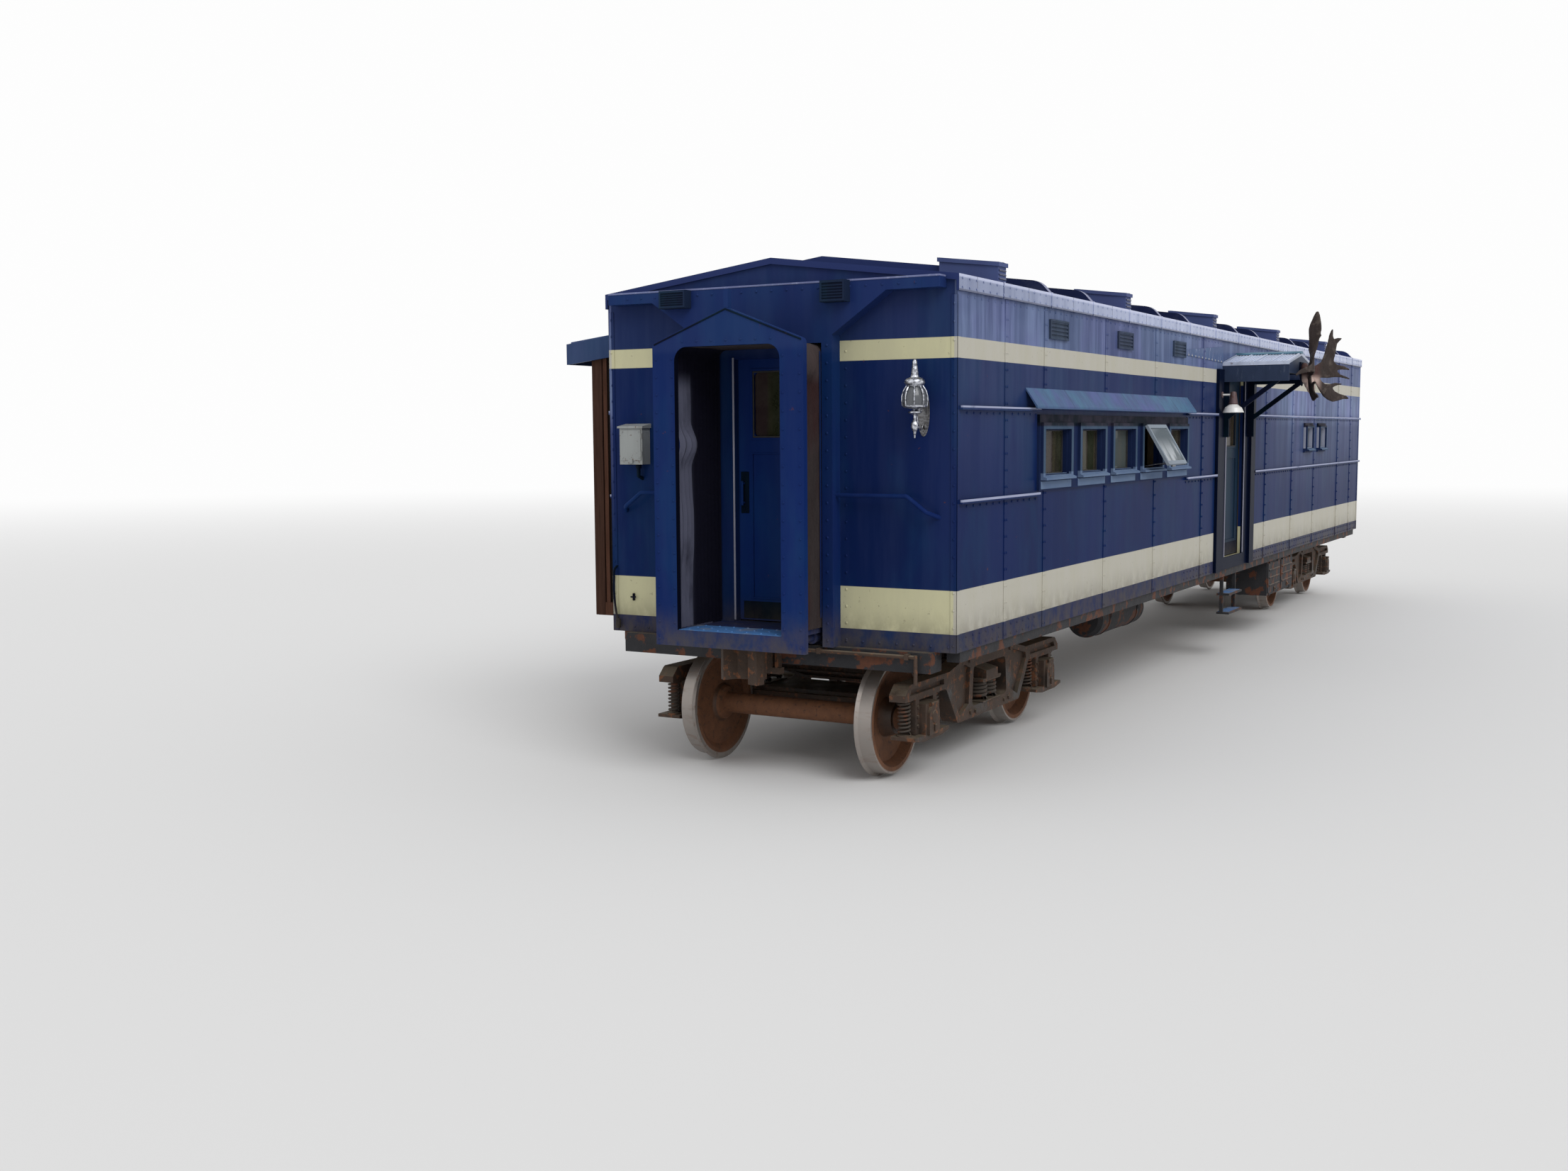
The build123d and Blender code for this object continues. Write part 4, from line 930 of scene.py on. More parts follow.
def box_grey(name):
    f = Finish(name, Specular_IOR_Level=0.45)
    tone = f.mix(f.noise(7, (1, 1, 0.4), 4), (0.22, 0.235, 0.235), (0.34, 0.36, 0.355))
    tone = f.mix(f.noise(14, (1, 1, 0.15), 4, shift=4).above(0.58, 0.08) * 0.4, tone, (0.15, 0.14, 0.12))
    tone = rusted(f, tone, 30, 0.66)
    f.wire(Base_Color=tone, Roughness=0.42 + 0.2 * f.noise(12))
    f.bump(f.noise(120), 0.0006)
    return f.material


def lantern_silver(name):
    """Cast metal of the lantern, antiqued silver with dark hollows."""
    f = Finish(name, Metallic=0.9)
    spot = f.noise(38, (1, 1, 1.6), 3, 0.6)
    tone = f.mix(spot.above(0.53, 0.12) * 0.8, (0.62, 0.64, 0.7), (0.035, 0.035, 0.045))
    plate = f.y.above(-HALF_LENGTH - 0.04, 0.015)
    tone = f.mix(plate * 0.8, tone, (0.075, 0.07, 0.065))
    f.wire(Base_Color=tone, Roughness=0.16 + 0.3 * spot)
    f.bump(spot, 0.0008)
    return f.material


def ribbed_glass(name):
    f = Finish(name, Specular_IOR_Level=0.7, Transmission_Weight=0.3, IOR=1.45)
    tone = f.mix(f.noise(20, (1, 1, 0.3)), (0.04, 0.045, 0.055), (0.2, 0.215, 0.24))
    f.wire(Base_Color=tone, Roughness=0.08 + 0.2 * f.noise(30))
    f.bump(f.noise(24), 0.001)
    return f.material


def rubber(name):
    f = Finish(name, Specular_IOR_Level=0.3)
    tone = f.mix(f.noise(20, detail=4), (0.012, 0.012, 0.013), (0.045, 0.043, 0.042))
    f.wire(Base_Color=tone, Roughness=0.6 + 0.25 * f.noise(35))
    f.bump(f.noise(90), 0.0006)
    return f.material


def weather_strip(name):
    f = Finish(name, Specular_IOR_Level=0.4)
    tone = f.mix(f.noise(8, (1, 1, 0.2), 4), (0.2, 0.2, 0.27), (0.42, 0.42, 0.5))
    f.wire(Base_Color=tone, Roughness=0.4 + 0.2 * f.noise(30))
    f.bump(f.noise(50), 0.0008)
    return f.material


def tread_plate(name):
    """Light blue gangway tread, worn to metal along its middle."""
    f = Finish(name, Specular_IOR_Level=0.4)
    tone = f.mix(f.noise(9, detail=4), (0.03, 0.1, 0.27), (0.08, 0.22, 0.5))
    tone = f.mix(f.noise(6, detail=5, shift=3).above(0.56, 0.08) * 0.6, tone, (0.2, 0.2, 0.2))
    f.wire(Base_Color=tone, Roughness=0.5 + 0.2 * f.noise(14))
    f.bump(f.noise(60), 0.001)
    return f.material


def dress(material, *nodes):
    """Gives CAD nodes a finish through their own material slots."""
    for node in nodes:
        for holder in frame["nodes"][node].material_slots:
            holder.material = material


def finish(name):
    """A finish that the paint operator has made."""
    return bpy.data.materials[name]


def at_ends(*parts):
    """The nodes of parts that stand once at the front and once at the rear."""
    return [f"{end}_{part}" for end, turn in FRONT_REAR for part in parts]


class CABOOSE_OT_paint(bpy.types.Operator):
    """Make every finish and give each fixed piece of the car its own"""

    bl_idname = "caboose.paint"
    bl_label = "Paint and materials"

    def execute(self, context):
        paint = context.scene.caboose_paint
        blue, trim = tuple(paint.body), tuple(paint.trim)
        walls = ("right_side_wall", "left_side_wall", "front_end_wall", "rear_end_wall")
        dress(enamel("striped enamel", blue, paint), *walls, "side_rails")
        # Body blue made lighter for the posts, gangway frame and grab rails: a painted light on parts
        # standing in front of the end wall's shade, with painted shade inside the gangway
        plain = enamel("plain enamel", times(blue, 1.3), chalk_and_sheen=0.7, gangway=True)
        dress(plain, *at_ends("end_posts", "gangway_frame"), "grab_rails")
        dress(enamel("door enamel", times(blue, 1.6), chalk_and_sheen=0.5), *at_ends("end_door"))
        side_door = enamel("side door enamel", (0.012, 0.026, 0.05), chalk_and_sheen=0.3)
        dress(side_door, "right_side_door", "left_side_door")
        dress(enamel("lamp enamel", (0.014, 0.024, 0.055), chalk_and_sheen=0.0, gloss=0.45), "end_lamps")
        dress(enamel("dark enamel", (0.004, 0.006, 0.018), chalk_and_sheen=0.0, gloss=0.45), "awning_brackets")
        dress(enamel("fascia enamel", (0.018, 0.034, 0.1), chalk_and_sheen=0.2), "lean_to_roof")
        dress(enamel("sash enamel", (0.26, 0.3, 0.35), gloss=0.4, chalk_and_sheen=0.1), "open_sash")
        dress(enamel("vent enamel", (0.02, 0.03, 0.045), chalk_and_sheen=0.3, gloss=0.5), "side_vents")
        # The ventilators' blue is lighter than the roof's: a painted sky sheen on their sides
        dress(enamel("ventilator enamel", (0.07, 0.09, 0.22), chalk_and_sheen=0.0), "roof_ventilators")
        # A light blue strip along the top plate's upper edge: a painted highlight, with some worn chips
        enamel("edge highlight enamel", (0.17, 0.19, 0.35), chalk_and_sheen=0.0, bare=0.3)
        # The flashing's lighter blue matches the wall round it: chalk and a painted sky sheen
        enamel("flashing enamel", (0.085, 0.125, 0.25), chalk_and_sheen=0.0, bare=0.2)
        enamel("trim enamel", times(trim, 0.8), gloss=0.4, chalk_and_sheen=0.1)

        dress(hood_paint("hood enamel", trim), "window_hoods")
        dress(trim_paint("window trim paint", trim), "window_trim")
        dress(roof_paint("roof enamel", paint), "roof")
        dress(roof_paint("cap enamel", paint, 0.03), "roof_seam_caps")
        side_panes = ("window_glass", "right_side_door_glass", "left_side_door_glass")
        dress(window_pane("window glass"), *side_panes, *at_ends("end_door_glass"))

        dress(timber("floor boards", (0.3, 0.19, 0.1), (0.14, 0.08, 0.045), 0.09, "Y", "X"), "floor")
        cedar = timber("cedar boards", (0.12, 0.054, 0.034), (0.06, 0.026, 0.016), 0.14, "Z", "Y")
        dress(cedar, "lean_to_walls")
        timber("pale cedar", (0.075, 0.036, 0.024), (0.04, 0.018, 0.012), 0.14, "Z", "Y")

        dress(black_steel("underframe black"), "underframe", "brake_gear", "battery_boxes", "side_steps")
        dress(black_steel("spring steel", (0.03, 0.024, 0.02), 0.2), *at_ends("truck_springs"))
        dress(cast_steel("cast steel"), *at_ends("truck_frame", "truck_bolster", "coupler"))
        dress(wheel_steel("wheel steel"), *at_ends("outer_wheelset", "inner_wheelset"))
        dress(awning_metal("awning metal"), "awning_roof")
        dress(lantern_silver("lantern silver"), "wall_lantern")
        bare_metal("worn metal", (0.5, 0.5, 0.5), (0.2, 0.2, 0.22), 0.35, 0.1)
        bare_metal("rusty metal", (0.17, 0.12, 0.125), (0.075, 0.045, 0.045), 0.5, 0.4)
        bare_metal("awning teal", (0.1, 0.24, 0.34), (0.05, 0.13, 0.2), 0.4)
        bare_metal("galvanised sheet", (0.68, 0.73, 0.86), (0.46, 0.52, 0.66), 0.4)

        dress(canvas("bellows canvas"), *at_ends("bellows"))
        dress(white_enamel("white enamel"), "awning_lamp")
        dress(antler_horn("antler horn"), "antlers")
        dress(box_grey("box grey"), "service_box")
        for make in (ribbed_glass, rubber, weather_strip, tread_plate, curtain_cloth):
            make(make.__name__.replace("_", " "))
        return {"FINISHED"}


def rivet_head(settings):
    """One low head on the XY plane: a six-sided frustum with a smaller one drawn out of its top."""
    begin()
    radius, half = settings.radius, settings.height / 2
    bpy.ops.mesh.primitive_cone_add(
        vertices=6, radius1=radius, radius2=0.85 * radius, depth=half, location=(0, 0, half / 2))
    head = settle(bpy.context.object)
    pick(head, "FACE", lambda face: face.normal.z > 0.9)
    bpy.ops.mesh.extrude_region_move(TRANSFORM_OT_translate={"value": (0, 0, half)})
    bpy.ops.transform.resize(value=(0.5, 0.5, 1), center_override=(0, 0, 0))
    bpy.ops.object.mode_set(mode="OBJECT")
    return smooth(head, 70)


def rivet_rows(rows, facing):
    """Rows of heads from start to end, standing on a plane that faces one way."""
    settings = bpy.context.scene.caboose_rivets
    turn = Vector(facing).to_track_quat("Z", "Y").to_matrix().to_4x4()
    head = rivet_head(settings)
    lines = []
    for start, end in rows:
        start, end = Vector(start), Vector(end)
        steps = max(1, round((end - start).length / settings.pitch))
        lines.append(row(twin(head, Matrix.Translation(start) @ turn), steps + 1, (end - start) / steps))
    bpy.data.objects.remove(head)
    return lines


SEAM_HALF = 0.03
SEAM_COVER = 0.005
FRAME_COVER = 0.008
RIVET_ASIDE = 0.017
FIRST_RIVET = 0.05
LAST_RIVET = 15.55
CORNER = 0.006
PLATE_REACH = 1.38


def seam_spans(seam):
    """The heights over which a seam shows: it stops over and under the five lights."""
    if LIGHTS_SPAN[0] < seam < LIGHTS_SPAN[1]:
        return [(under_eave(HOOD_TOP) + 0.005, LIP), (SILL, under_eave(LIGHTS_FOOT))]
    return [(SILL, LIP)]


def upright(x, y, foot, top):
    """The ends of an upright row of rivets."""
    return (x, y, foot), (x, y, top)


def lengthwise(x, start, end, z):
    """The ends of a row of rivets along the car, between two distances from the front end wall."""
    return (x, from_front(start), z), (x, from_front(end), z)


def side_seams():
    """Covers for the seams that the frame lacks, and rivets along seams, belt rails, sill and eave."""
    skin = HALF_WIDTH
    covers = []
    rows = []
    for seam in SEAMS_ADDED + SEAMS_IN_FRAME:
        y = from_front(seam)
        face = skin + (SEAM_COVER if seam in SEAMS_ADDED else FRAME_COVER)
        for foot, top in seam_spans(seam):
            if seam in SEAMS_ADDED:
                covers.append(box((skin, y - SEAM_HALF, foot), (face, y + SEAM_HALF, top), 0.0015))
            rows += [upright(face, y + side, foot + 0.03, top - 0.02) for side in (-RIVET_ASIDE, RIVET_ASIDE)]
    stretches = ((FIRST_RIVET, LIGHTS_SPAN[0] - 0.03), (LIGHTS_SPAN[1] + 0.03, DOORWAY[0] - 0.05),
                 (DOORWAY[1] + 0.05, LAST_RIVET))
    levels = [SILL + 0.03, SILL + 0.1] + [under_eave(belt + 0.022) for belt in BELTS]
    rows += [lengthwise(skin, start, end, z) for start, end in stretches for z in levels]
    for start, end in ((FIRST_RIVET, 7.1), (8.5, LAST_RIVET)):
        rows.append(lengthwise(skin, start, end, LIP - 0.03))
    both(RIGHT_LEFT, "seam_covers", covers, "striped enamel")
    both(RIGHT_LEFT, "shell_rivets", rivet_rows(rows, (1, 0, 0)), "striped enamel")


def roof_lip():
    """Rivets along the roof's turned-down lip, and a strap over it at every seam."""
    rows = [lengthwise(ROOF_EDGE, 0.04, 15.56, z) for z in (LIP + 0.024, EAVE - 0.03)]
    seam = from_front(FIRST_ROOF_SEAM)
    strap = box((ROOF_EDGE, seam - 0.01, LIP - 0.004), (ROOF_EDGE + 0.004, seam + 0.01, EAVE + 0.001), 0)
    both(RIGHT_LEFT, "lip_rivets", rivet_rows(rows, (1, 0, 0)), "roof enamel")
    both(RIGHT_LEFT, "lip_straps", [row(strap, 15, (0, 1, 0))], "roof enamel")


def end_angles():
    """Corner angles of the end walls, and the walls' rivets."""
    skin, face = HALF_WIDTH, -HALF_LENGTH
    angles = []
    rows = []
    for side in (-1, 1):
        corner = side * (skin + CORNER)
        angles.append(box((side * (skin - 0.045), face - CORNER, SILL), (corner, face, under_eave(0.14))))
        angles.append(box((side * skin, face - CORNER, SILL), (corner, face + 0.045, LIP)))
        rows.append(upright(side * (skin - 0.02), face - CORNER, SILL + 0.05, under_eave(0.2)))
        rows.append(upright(side * 0.6, face, SILL + 0.05, under_eave(0.5)))
        rows.append(((side * 0.6, face, SILL + 0.04), (side * 1.4, face, SILL + 0.04)))
    both(FRONT_REAR, "corner_angles", angles, "striped enamel")
    both(FRONT_REAR, "end_rivets", rivet_rows(rows, (0, -1, 0)), "striped enamel")


def top_plates():
    """Rivets of the collision posts and top plate, the plate's ends and its upper strip, made bright as a
    painted highlight.
    """
    skin, face = HALF_WIDTH, -HALF_LENGTH
    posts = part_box("front_end_posts")[0].y
    rows = [upright(side * 0.51, posts, SILL + 0.05, under_eave(0.46)) for side in (-1, 1)]
    rows.append(((-1.2, posts, under_eave(0.058)), (1.2, posts, under_eave(0.058))))
    both(FRONT_REAR, "post_rivets", rivet_rows(rows, (0, -1, 0)), "plain enamel")
    strip_foot, strip_top = under_eave(0.022), under_eave(0.009)
    plates = []
    strips = [box((-PLATE_REACH, posts - 0.004, strip_foot), (PLATE_REACH, face, strip_top))]
    for side in (-1, 1):
        reach = side * PLATE_REACH
        plates.append(box((side * 1.244, posts, under_eave(0.096)), (reach, face + 0.001, under_eave(0.02))))
        strips.append(box((reach, face - 0.014, strip_foot), (side * (skin - 0.005), face, strip_top)))
    both(FRONT_REAR, "top_plate_ends", plates, "plain enamel")
    both(FRONT_REAR, "top_plate_strip", strips, "edge highlight enamel")


class CABOOSE_OT_shell(bpy.types.Operator):
    """Add seam covers, lip straps, corner angles, top plates' ends and rows of rivets to the shell"""

    bl_idname = "caboose.shell"
    bl_label = "Seams and rivets"

    def execute(self, context):
        side_seams()
        roof_lip()
        end_angles()
        top_plates()
        return {"FINISHED"}


# The lights' centres are distances from the front end wall
LIGHT_FIRST = 1.92
LIGHT_PITCH = 0.865
LIGHT_COUNT = 5
OPEN_LIGHT = 3
# Half width of the opening, drop of its head and drop of its foot
LIGHT = (0.298, 1.057, 1.418)
SMALL_LIGHT = (0.203, 1.042, 1.318)
SMALL_LIGHTS = (11.75, 12.62)
CURTAIN = (0.12, 0.40)
CURTAIN_X = 1.375


def gathered(width, height, places, middle):
    """A hung curtain: a grid whose upright folds grow deeper downwards."""
    begin()
    across, down = 48, 20
    bpy.ops.mesh.primitive_grid_add(x_subdivisions=across, y_subdivisions=down, size=1)
    piece = bpy.context.object
    for vertex in piece.data.vertices:
        along, up = vertex.co.x, vertex.co.y
        deep = 0.006 + 0.006 * (0.5 - up)
        wave = math.sin(along * places * math.tau + 0.6 * math.sin(3 * up))
        vertex.co = middle + Vector((deep * wave, along * width, up * height))
    modify(piece, "SOLIDIFY", thickness=0.0012, offset=0)
    return smooth(piece, 60)


def glazing(centres):
    """Gaskets and beads round the fixed panes, and the sheet apron under each of the five lights."""
    places = [(y, *LIGHT) for i, y in enumerate(centres) if i != OPEN_LIGHT]
    places += [(y, *SMALL_LIGHT) for y in SMALL_LIGHTS]
    pane = HALF_WIDTH - 0.04
    gaskets = []
    beads = []
    for along, half, top, foot in places:
        low, high = from_front(along) - half, from_front(along) + half
        foot, top = under_eave(foot), under_eave(top)
        gaskets.append(ring((pane, low, foot), (pane + 0.012, high, top), 0.018, 0))
        beads.append(ring((pane + 0.012, low, foot), (pane + 0.05, high, top), 0.009, 0))
    half, foot, top = LIGHT[0] + 0.05, under_eave(1.525), under_eave(1.462)
    aprons = [box((HALF_WIDTH, y - half, foot), (HALF_WIDTH + 0.03, y + half, top), 0.004)
              for y in map(from_front, centres)]
    both(RIGHT_LEFT, "light_aprons", aprons, "window trim paint")
    both(RIGHT_LEFT, "light_gaskets", gaskets, "rubber")
    both(RIGHT_LEFT, "light_beads", beads, "window trim paint")


def open_light(y):
    """The open sash's stays and handle, and the curtain on its rail inside."""
    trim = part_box("window_trim")[1].x - 0.045
    low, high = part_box("open_sash")
    x, z = high.x - 0.028, low.z + 0.03
    stays = [bar([(trim, y + side, under_eave(1.4)), (x, y + side, z)], 0.005) for side in (-0.24, 0.24)]
    handle = box((x - 0.03, y - 0.05, z - 0.045), (x - 0.012, y + 0.05, z - 0.02), 0.003)
    both(RIGHT_LEFT[:1], "sash_stays", stays + [handle], "lantern silver")

    rail_z = under_eave(1.03)
    rail = bar([(CURTAIN_X, y - 0.32, rail_z), (CURTAIN_X, y + 0.32, rail_z)], 0.006)
    fit("curtain_rail", [rail], "worn metal")
    width, height = CURTAIN
    curtain = gathered(width, height, 5, Vector((CURTAIN_X, y - 0.225, rail_z - height / 2)))
    fit("light_curtain", [curtain], "curtain cloth")


class CABOOSE_OT_lights(bpy.types.Operator):
    """Add the windows' gaskets, beads and aprons, the open light's stays and curtain, and the hoods' edges"""

    bl_idname = "caboose.lights"
    bl_label = "Window fittings"

    def execute(self, context):
        centres = [LIGHT_FIRST + i * LIGHT_PITCH for i in range(LIGHT_COUNT)]
        glazing(centres)
        open_light(from_front(centres[OPEN_LIGHT]))
        low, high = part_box("window_hoods")
        edge = box((high.x - 0.012, -6.5, low.z - 0.004), (high.x + 0.003, -2.0, low.z + 0.004), 0.001)
        both(RIGHT_LEFT, "hood_edges", [edge], "trim enamel")
        return {"FINISHED"}


BELLOWS_SIDE = 0.451
BELLOWS_TOP = 3.147
BELLOWS_FOOT = 1.127
BELLOWS_CORNER = 0.07
BELLOWS_REACH = 0.6
PLEATS = 12
PLEAT_DEEP = 0.0085


def arch_point(share):
    """A point of the bellows' arch and its outward direction, from the right foot round to the left."""
    side = BELLOWS_TOP - BELLOWS_FOOT - BELLOWS_CORNER
    bend = BELLOWS_CORNER * math.pi / 2
    flat = 2 * (BELLOWS_SIDE - BELLOWS_CORNER)
    run = share * (2 * side + 2 * bend + flat)
    mirror = 1
    if run > side + bend + flat / 2:
        run = 2 * side + 2 * bend + flat - run
        mirror = -1
    if run < side:
        return mirror * BELLOWS_SIDE, BELLOWS_FOOT + run, mirror, 0
    if run < side + bend:
        angle = (run - side) / BELLOWS_CORNER
        x = BELLOWS_SIDE - BELLOWS_CORNER + BELLOWS_CORNER * math.cos(angle)
        z = BELLOWS_TOP - BELLOWS_CORNER + BELLOWS_CORNER * math.sin(angle)
        return mirror * x, z, mirror * math.cos(angle), math.sin(angle)
    return mirror * (BELLOWS_SIDE - BELLOWS_CORNER - (run - side - bend)), BELLOWS_TOP, 0, 1


def hump(value, low, high):
    """0 outside two limits and 1 midway, rounded."""
    share = (value - low) / (high - low)
    return math.sin(math.pi * share) ** 2 if 0 < share < 1 else 0.0


def bellows_sheet():
    """The front bellows: one pleated sheet over the passage, rolled out high on the right, in on the left."""
    begin()
    front, back = -HALF_LENGTH - BELLOWS_REACH, -HALF_LENGTH
    around, deep = 150, PLEATS * 4
    bpy.ops.mesh.primitive_grid_add(x_subdivisions=around, y_subdivisions=deep, size=1)
    piece = bpy.context.object
    for vertex in piece.data.vertices:
        share, depth = vertex.co.x + 0.5, vertex.co.y + 0.5
        x, z, out_x, out_z = arch_point(share)
        y = front + depth * (back - front)
        fold = 4 * abs((depth * PLEATS) % 1 - 0.5) - 1
        slack = 0.0025 * math.sin(19 * share * math.tau) * math.sin(3 * depth * math.pi)
        out = PLEAT_DEEP * fold + slack
        if out_x > 0.5:
            ahead = hump(y, front + 0.02, back - 0.14)
            high = hump(z, 2.84, 3.22)
            out += (0.085 * high + 0.022 * hump(z, 1.0, 2.9)) * ahead
            z -= 0.05 * ahead * high
        if out_x < -0.5:
            inwards = 0.075 * hump(z, 2.27, 2.62) + 0.025 * hump(z, 1.4, 2.3)
            out -= inwards * hump(y, front - 0.1, front + 0.3)
        vertex.co = (x + out * out_x, y, z + out * out_z)
    modify(piece, "SOLIDIFY", thickness=0.003, offset=0)
    return smooth(piece, 50)


def gangways(front):
    """Canvas, retaining strips, tread plates, face plate rivets and hood beading of both gangways."""
    pleated = both(FRONT_REAR, "gangway_bellows", [bellows_sheet()], "bellows canvas")
    for (end, turn), piece in zip(FRONT_REAR, pleated):
        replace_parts(piece, f"{end}_bellows")
    inside = -HALF_LENGTH - 0.13
    retainers = [box((x - 0.003, inside - 0.012, 1.2), (x + 0.003, inside, 3.1), 0.001)
                 for x in (-0.4645, 0.4645)]
    top = FLOOR_TOP + 0.004
    tread = box((-0.424, front + 0.004, FLOOR_TOP), (0.424, front + 0.3, top), 0.0015)
    lines = [((0.12 * i, front + 0.05, top), (0.12 * i, front + 0.27, top)) for i in range(-3, 4)]
    both(FRONT_REAR, "tread_plate", [tread] + rivet_rows(lines, (0, 0, 1)), "tread plate")
    both(FRONT_REAR, "bellows_retainers", retainers, "plain enamel")

    rows = [upright(side * x, front, foot, 3.05)
            for x, foot in ((0.585, 1.05), (0.452, 1.17)) for side in (-1, 1)]
    rows.append(((-0.36, front, under_eave(0.43)), (0.36, front, under_eave(0.43))))
    both(FRONT_REAR, "face_plate_rivets", rivet_rows(rows, (0, -1, 0)), "plain enamel")
    # The hood beading's dark enamel is a painted shadow line along the hood's slopes
    peak = ((-0.6, 0.44), (0, 0.212), (0.6, 0.44), (0.6, 0.452), (0, 0.224), (-0.6, 0.452))
    beading = plate([(x, front, under_eave(drop)) for x, drop in peak], (0, -0.006, 0))
    both(FRONT_REAR, "hood_beading", [beading], "dark enamel")


DOOR_THICK = 0.045
DOOR_INSET = 0.061
KICK_TOP = 1.27
PANEL_FOOT = 1.288


def door_fittings(ends, part, axis, light, panel, kick, lock, material, extra=()):
    """Gaskets, mouldings and plates of one kind of door, whose leaf faces along an axis: 1 for the end doors.

    light: half its width, the drops of its head and foot, the moulding's reach beside and over it, its width.
    panel: half its width and the drop of its top. lock: the places of its plate's sides.
    """
    outwards = -1 if axis else 1
    outer = (-HALF_LENGTH if axis else HALF_WIDTH) - outwards * DOOR_INSET
    inner = outer - outwards * DOOR_THICK

    def corner(face, out, across, z):
        """A point out from a face of the leaf, across it and up."""
        return (across, face + outwards * out, z) if axis else (face + outwards * out, across, z)

    def frame(face, half, foot, top, deep, proud, border):
        """A frame round a light or a panel, sunk in a face and standing out of it."""
        return ring(corner(face, -deep, -half, foot), corner(face, proud, half, top), border, axis)

    half, head, foot, margin, drop, moulding = light
    head, foot = under_eave(head), under_eave(foot)
    gaskets = [frame(face, half, foot, head, 0.004, 0.004, 0.012) for face in (outer, inner)]
    mouldings = [frame(face, half + margin, foot - drop, head + drop, 0.001, 0.006, moulding)
                 for face in (outer, inner - outwards * 0.005)]
    mouldings += [frame(face, panel[0], PANEL_FOOT, under_eave(panel[1]), 0.002, 0.004, 0.012)
                  for face in (outer, inner - outwards * 0.002)]
    plates = [box(corner(outer, -0.001, -kick, 1.14), corner(outer, 0.002, kick, KICK_TOP), 0.0008),
              box(corner(outer, -0.001, lock[0], 1.93), corner(outer, 0.006, lock[1], 2.24), 0.003)]
    both(ends, "door_gaskets", gaskets, "rubber", part)
    both(ends, "door_mouldings", mouldings, material, part)
    both(ends, "door_plates", plates + list(extra), "dark enamel", part)


class CABOOSE_OT_ends(bpy.types.Operator):
    """Add the gangways' bellows, their treads and hood beading, and the doors' seals and mouldings"""

    bl_idname = "caboose.ends"
    bl_label = "Gangways and doors"

    def execute(self, context):
        gangways(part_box("front_gangway_frame")[0].y)
        stop = -HALF_LENGTH
        jambs = [box((x - 0.007, stop - 0.01, 1.13), (x + 0.007, stop + 0.002, 3.082), 0.003)
                 for x in (-0.338, 0.338)]
        both(FRONT_REAR, "weather_strips", jambs, "weather strip")

        keyhole = button(0.012, 0.012, 0.008, 0.009, (-0.285, stop + DOOR_INSET - 0.004, 1.965), 12, TO_FRONT)
        door_fittings(FRONT_REAR, "end_door", 1, light=(0.208, 0.618, 1.108, 0.018, 0.018, 0.017),
                      panel=(0.222, 1.218), kick=0.3, lock=(-0.315, -0.245),
                      material="door enamel", extra=[keyhole])
        door_fittings(RIGHT_LEFT, "side_door", 0, light=(0.258, 0.692, 1.258, 0.022, 0.02, 0.021),
                      panel=(0.282, 1.378), kick=0.38, lock=(-0.395, -0.325), material="side door enamel")
        jambs = [box((1.405, y - 0.006, 1.13), (1.468, y + 0.006, 3.09)) for y in (-0.418, 0.418)]
        both(RIGHT_LEFT, "side_weather_strips", jambs, "weather strip")
        return {"FINISHED"}


# Distance out along an antler and height over the eave: the palm with its points, and the brow palm under it
NEAR_PALM = (
    (0.02, -0.47), (0.03, -0.39), (0.12, -0.37), (0.19, -0.335), (0.235, -0.27), (0.262, -0.18),
    (0.264, -0.09), (0.262, 0.0), (0.27, 0.06), (0.288, 0.13), (0.31, 0.182), (0.328, 0.187),
    (0.346, 0.14), (0.362, 0.06), (0.37, 0.0), (0.372, -0.06), (0.386, -0.075), (0.37, -0.1),
    (0.366, -0.16), (0.37, -0.25), (0.376, -0.33), (0.42, -0.375), (0.52, -0.43), (0.602, -0.498),
    (0.598, -0.512), (0.49, -0.475), (0.4, -0.455), (0.33, -0.49), (0.2, -0.505), (0.1, -0.505))
FAR_PALM = (
    (0.02, -0.47), (0.03, -0.39), (0.12, -0.375), (0.2, -0.335), (0.248, -0.25), (0.27, -0.17),
    (0.292, -0.105), (0.306, -0.04), (0.328, 0.026), (0.34, 0.026), (0.344, -0.04), (0.362, -0.085),
    (0.405, -0.07), (0.45, -0.072), (0.452, -0.085), (0.415, -0.13), (0.405, -0.2), (0.39, -0.27),
    (0.376, -0.325), (0.43, -0.362), (0.53, -0.375), (0.605, -0.41), (0.6, -0.424), (0.5, -0.415),
    (0.42, -0.425), (0.47, -0.462), (0.56, -0.49), (0.612, -0.515), (0.604, -0.525), (0.5, -0.505),
    (0.4, -0.5), (0.3, -0.51), (0.2, -0.508), (0.1, -0.505))
BROW = (
    (0.02, -0.475), (0.1, -0.475), (0.16, -0.485), (0.2, -0.54), (0.26, -0.575), (0.33, -0.575),
    (0.41, -0.56), (0.5, -0.568), (0.508, -0.58), (0.43, -0.592), (0.36, -0.615), (0.4, -0.65),
    (0.48, -0.682), (0.56, -0.7), (0.6, -0.728), (0.596, -0.74), (0.52, -0.742), (0.45, -0.758),
    (0.374, -0.772), (0.3, -0.748), (0.24, -0.712), (0.19, -0.65), (0.14, -0.585), (0.08, -0.53))
# Place from the gable and over the eave, and size, of the skull's lumps; the last two stand on both sides
SKULL = (
    ((0.035, 0, -0.43), (0.05, 0.1, 0.085)),
    ((0.05, 0, -0.5), (0.06, 0.075, 0.07)),
    ((0.085, 0, -0.56), (0.055, 0.052, 0.075)),
    ((0.105, 0, -0.62), (0.045, 0.04, 0.06)),
    ((0.112, 0, -0.66), (0.03, 0.034, 0.03)),
    ((0.05, 0.06, -0.44), (0.045, 0.05, 0.05)),
    ((0.07, 0.095, -0.445), (0.034, 0.026, 0.04)))
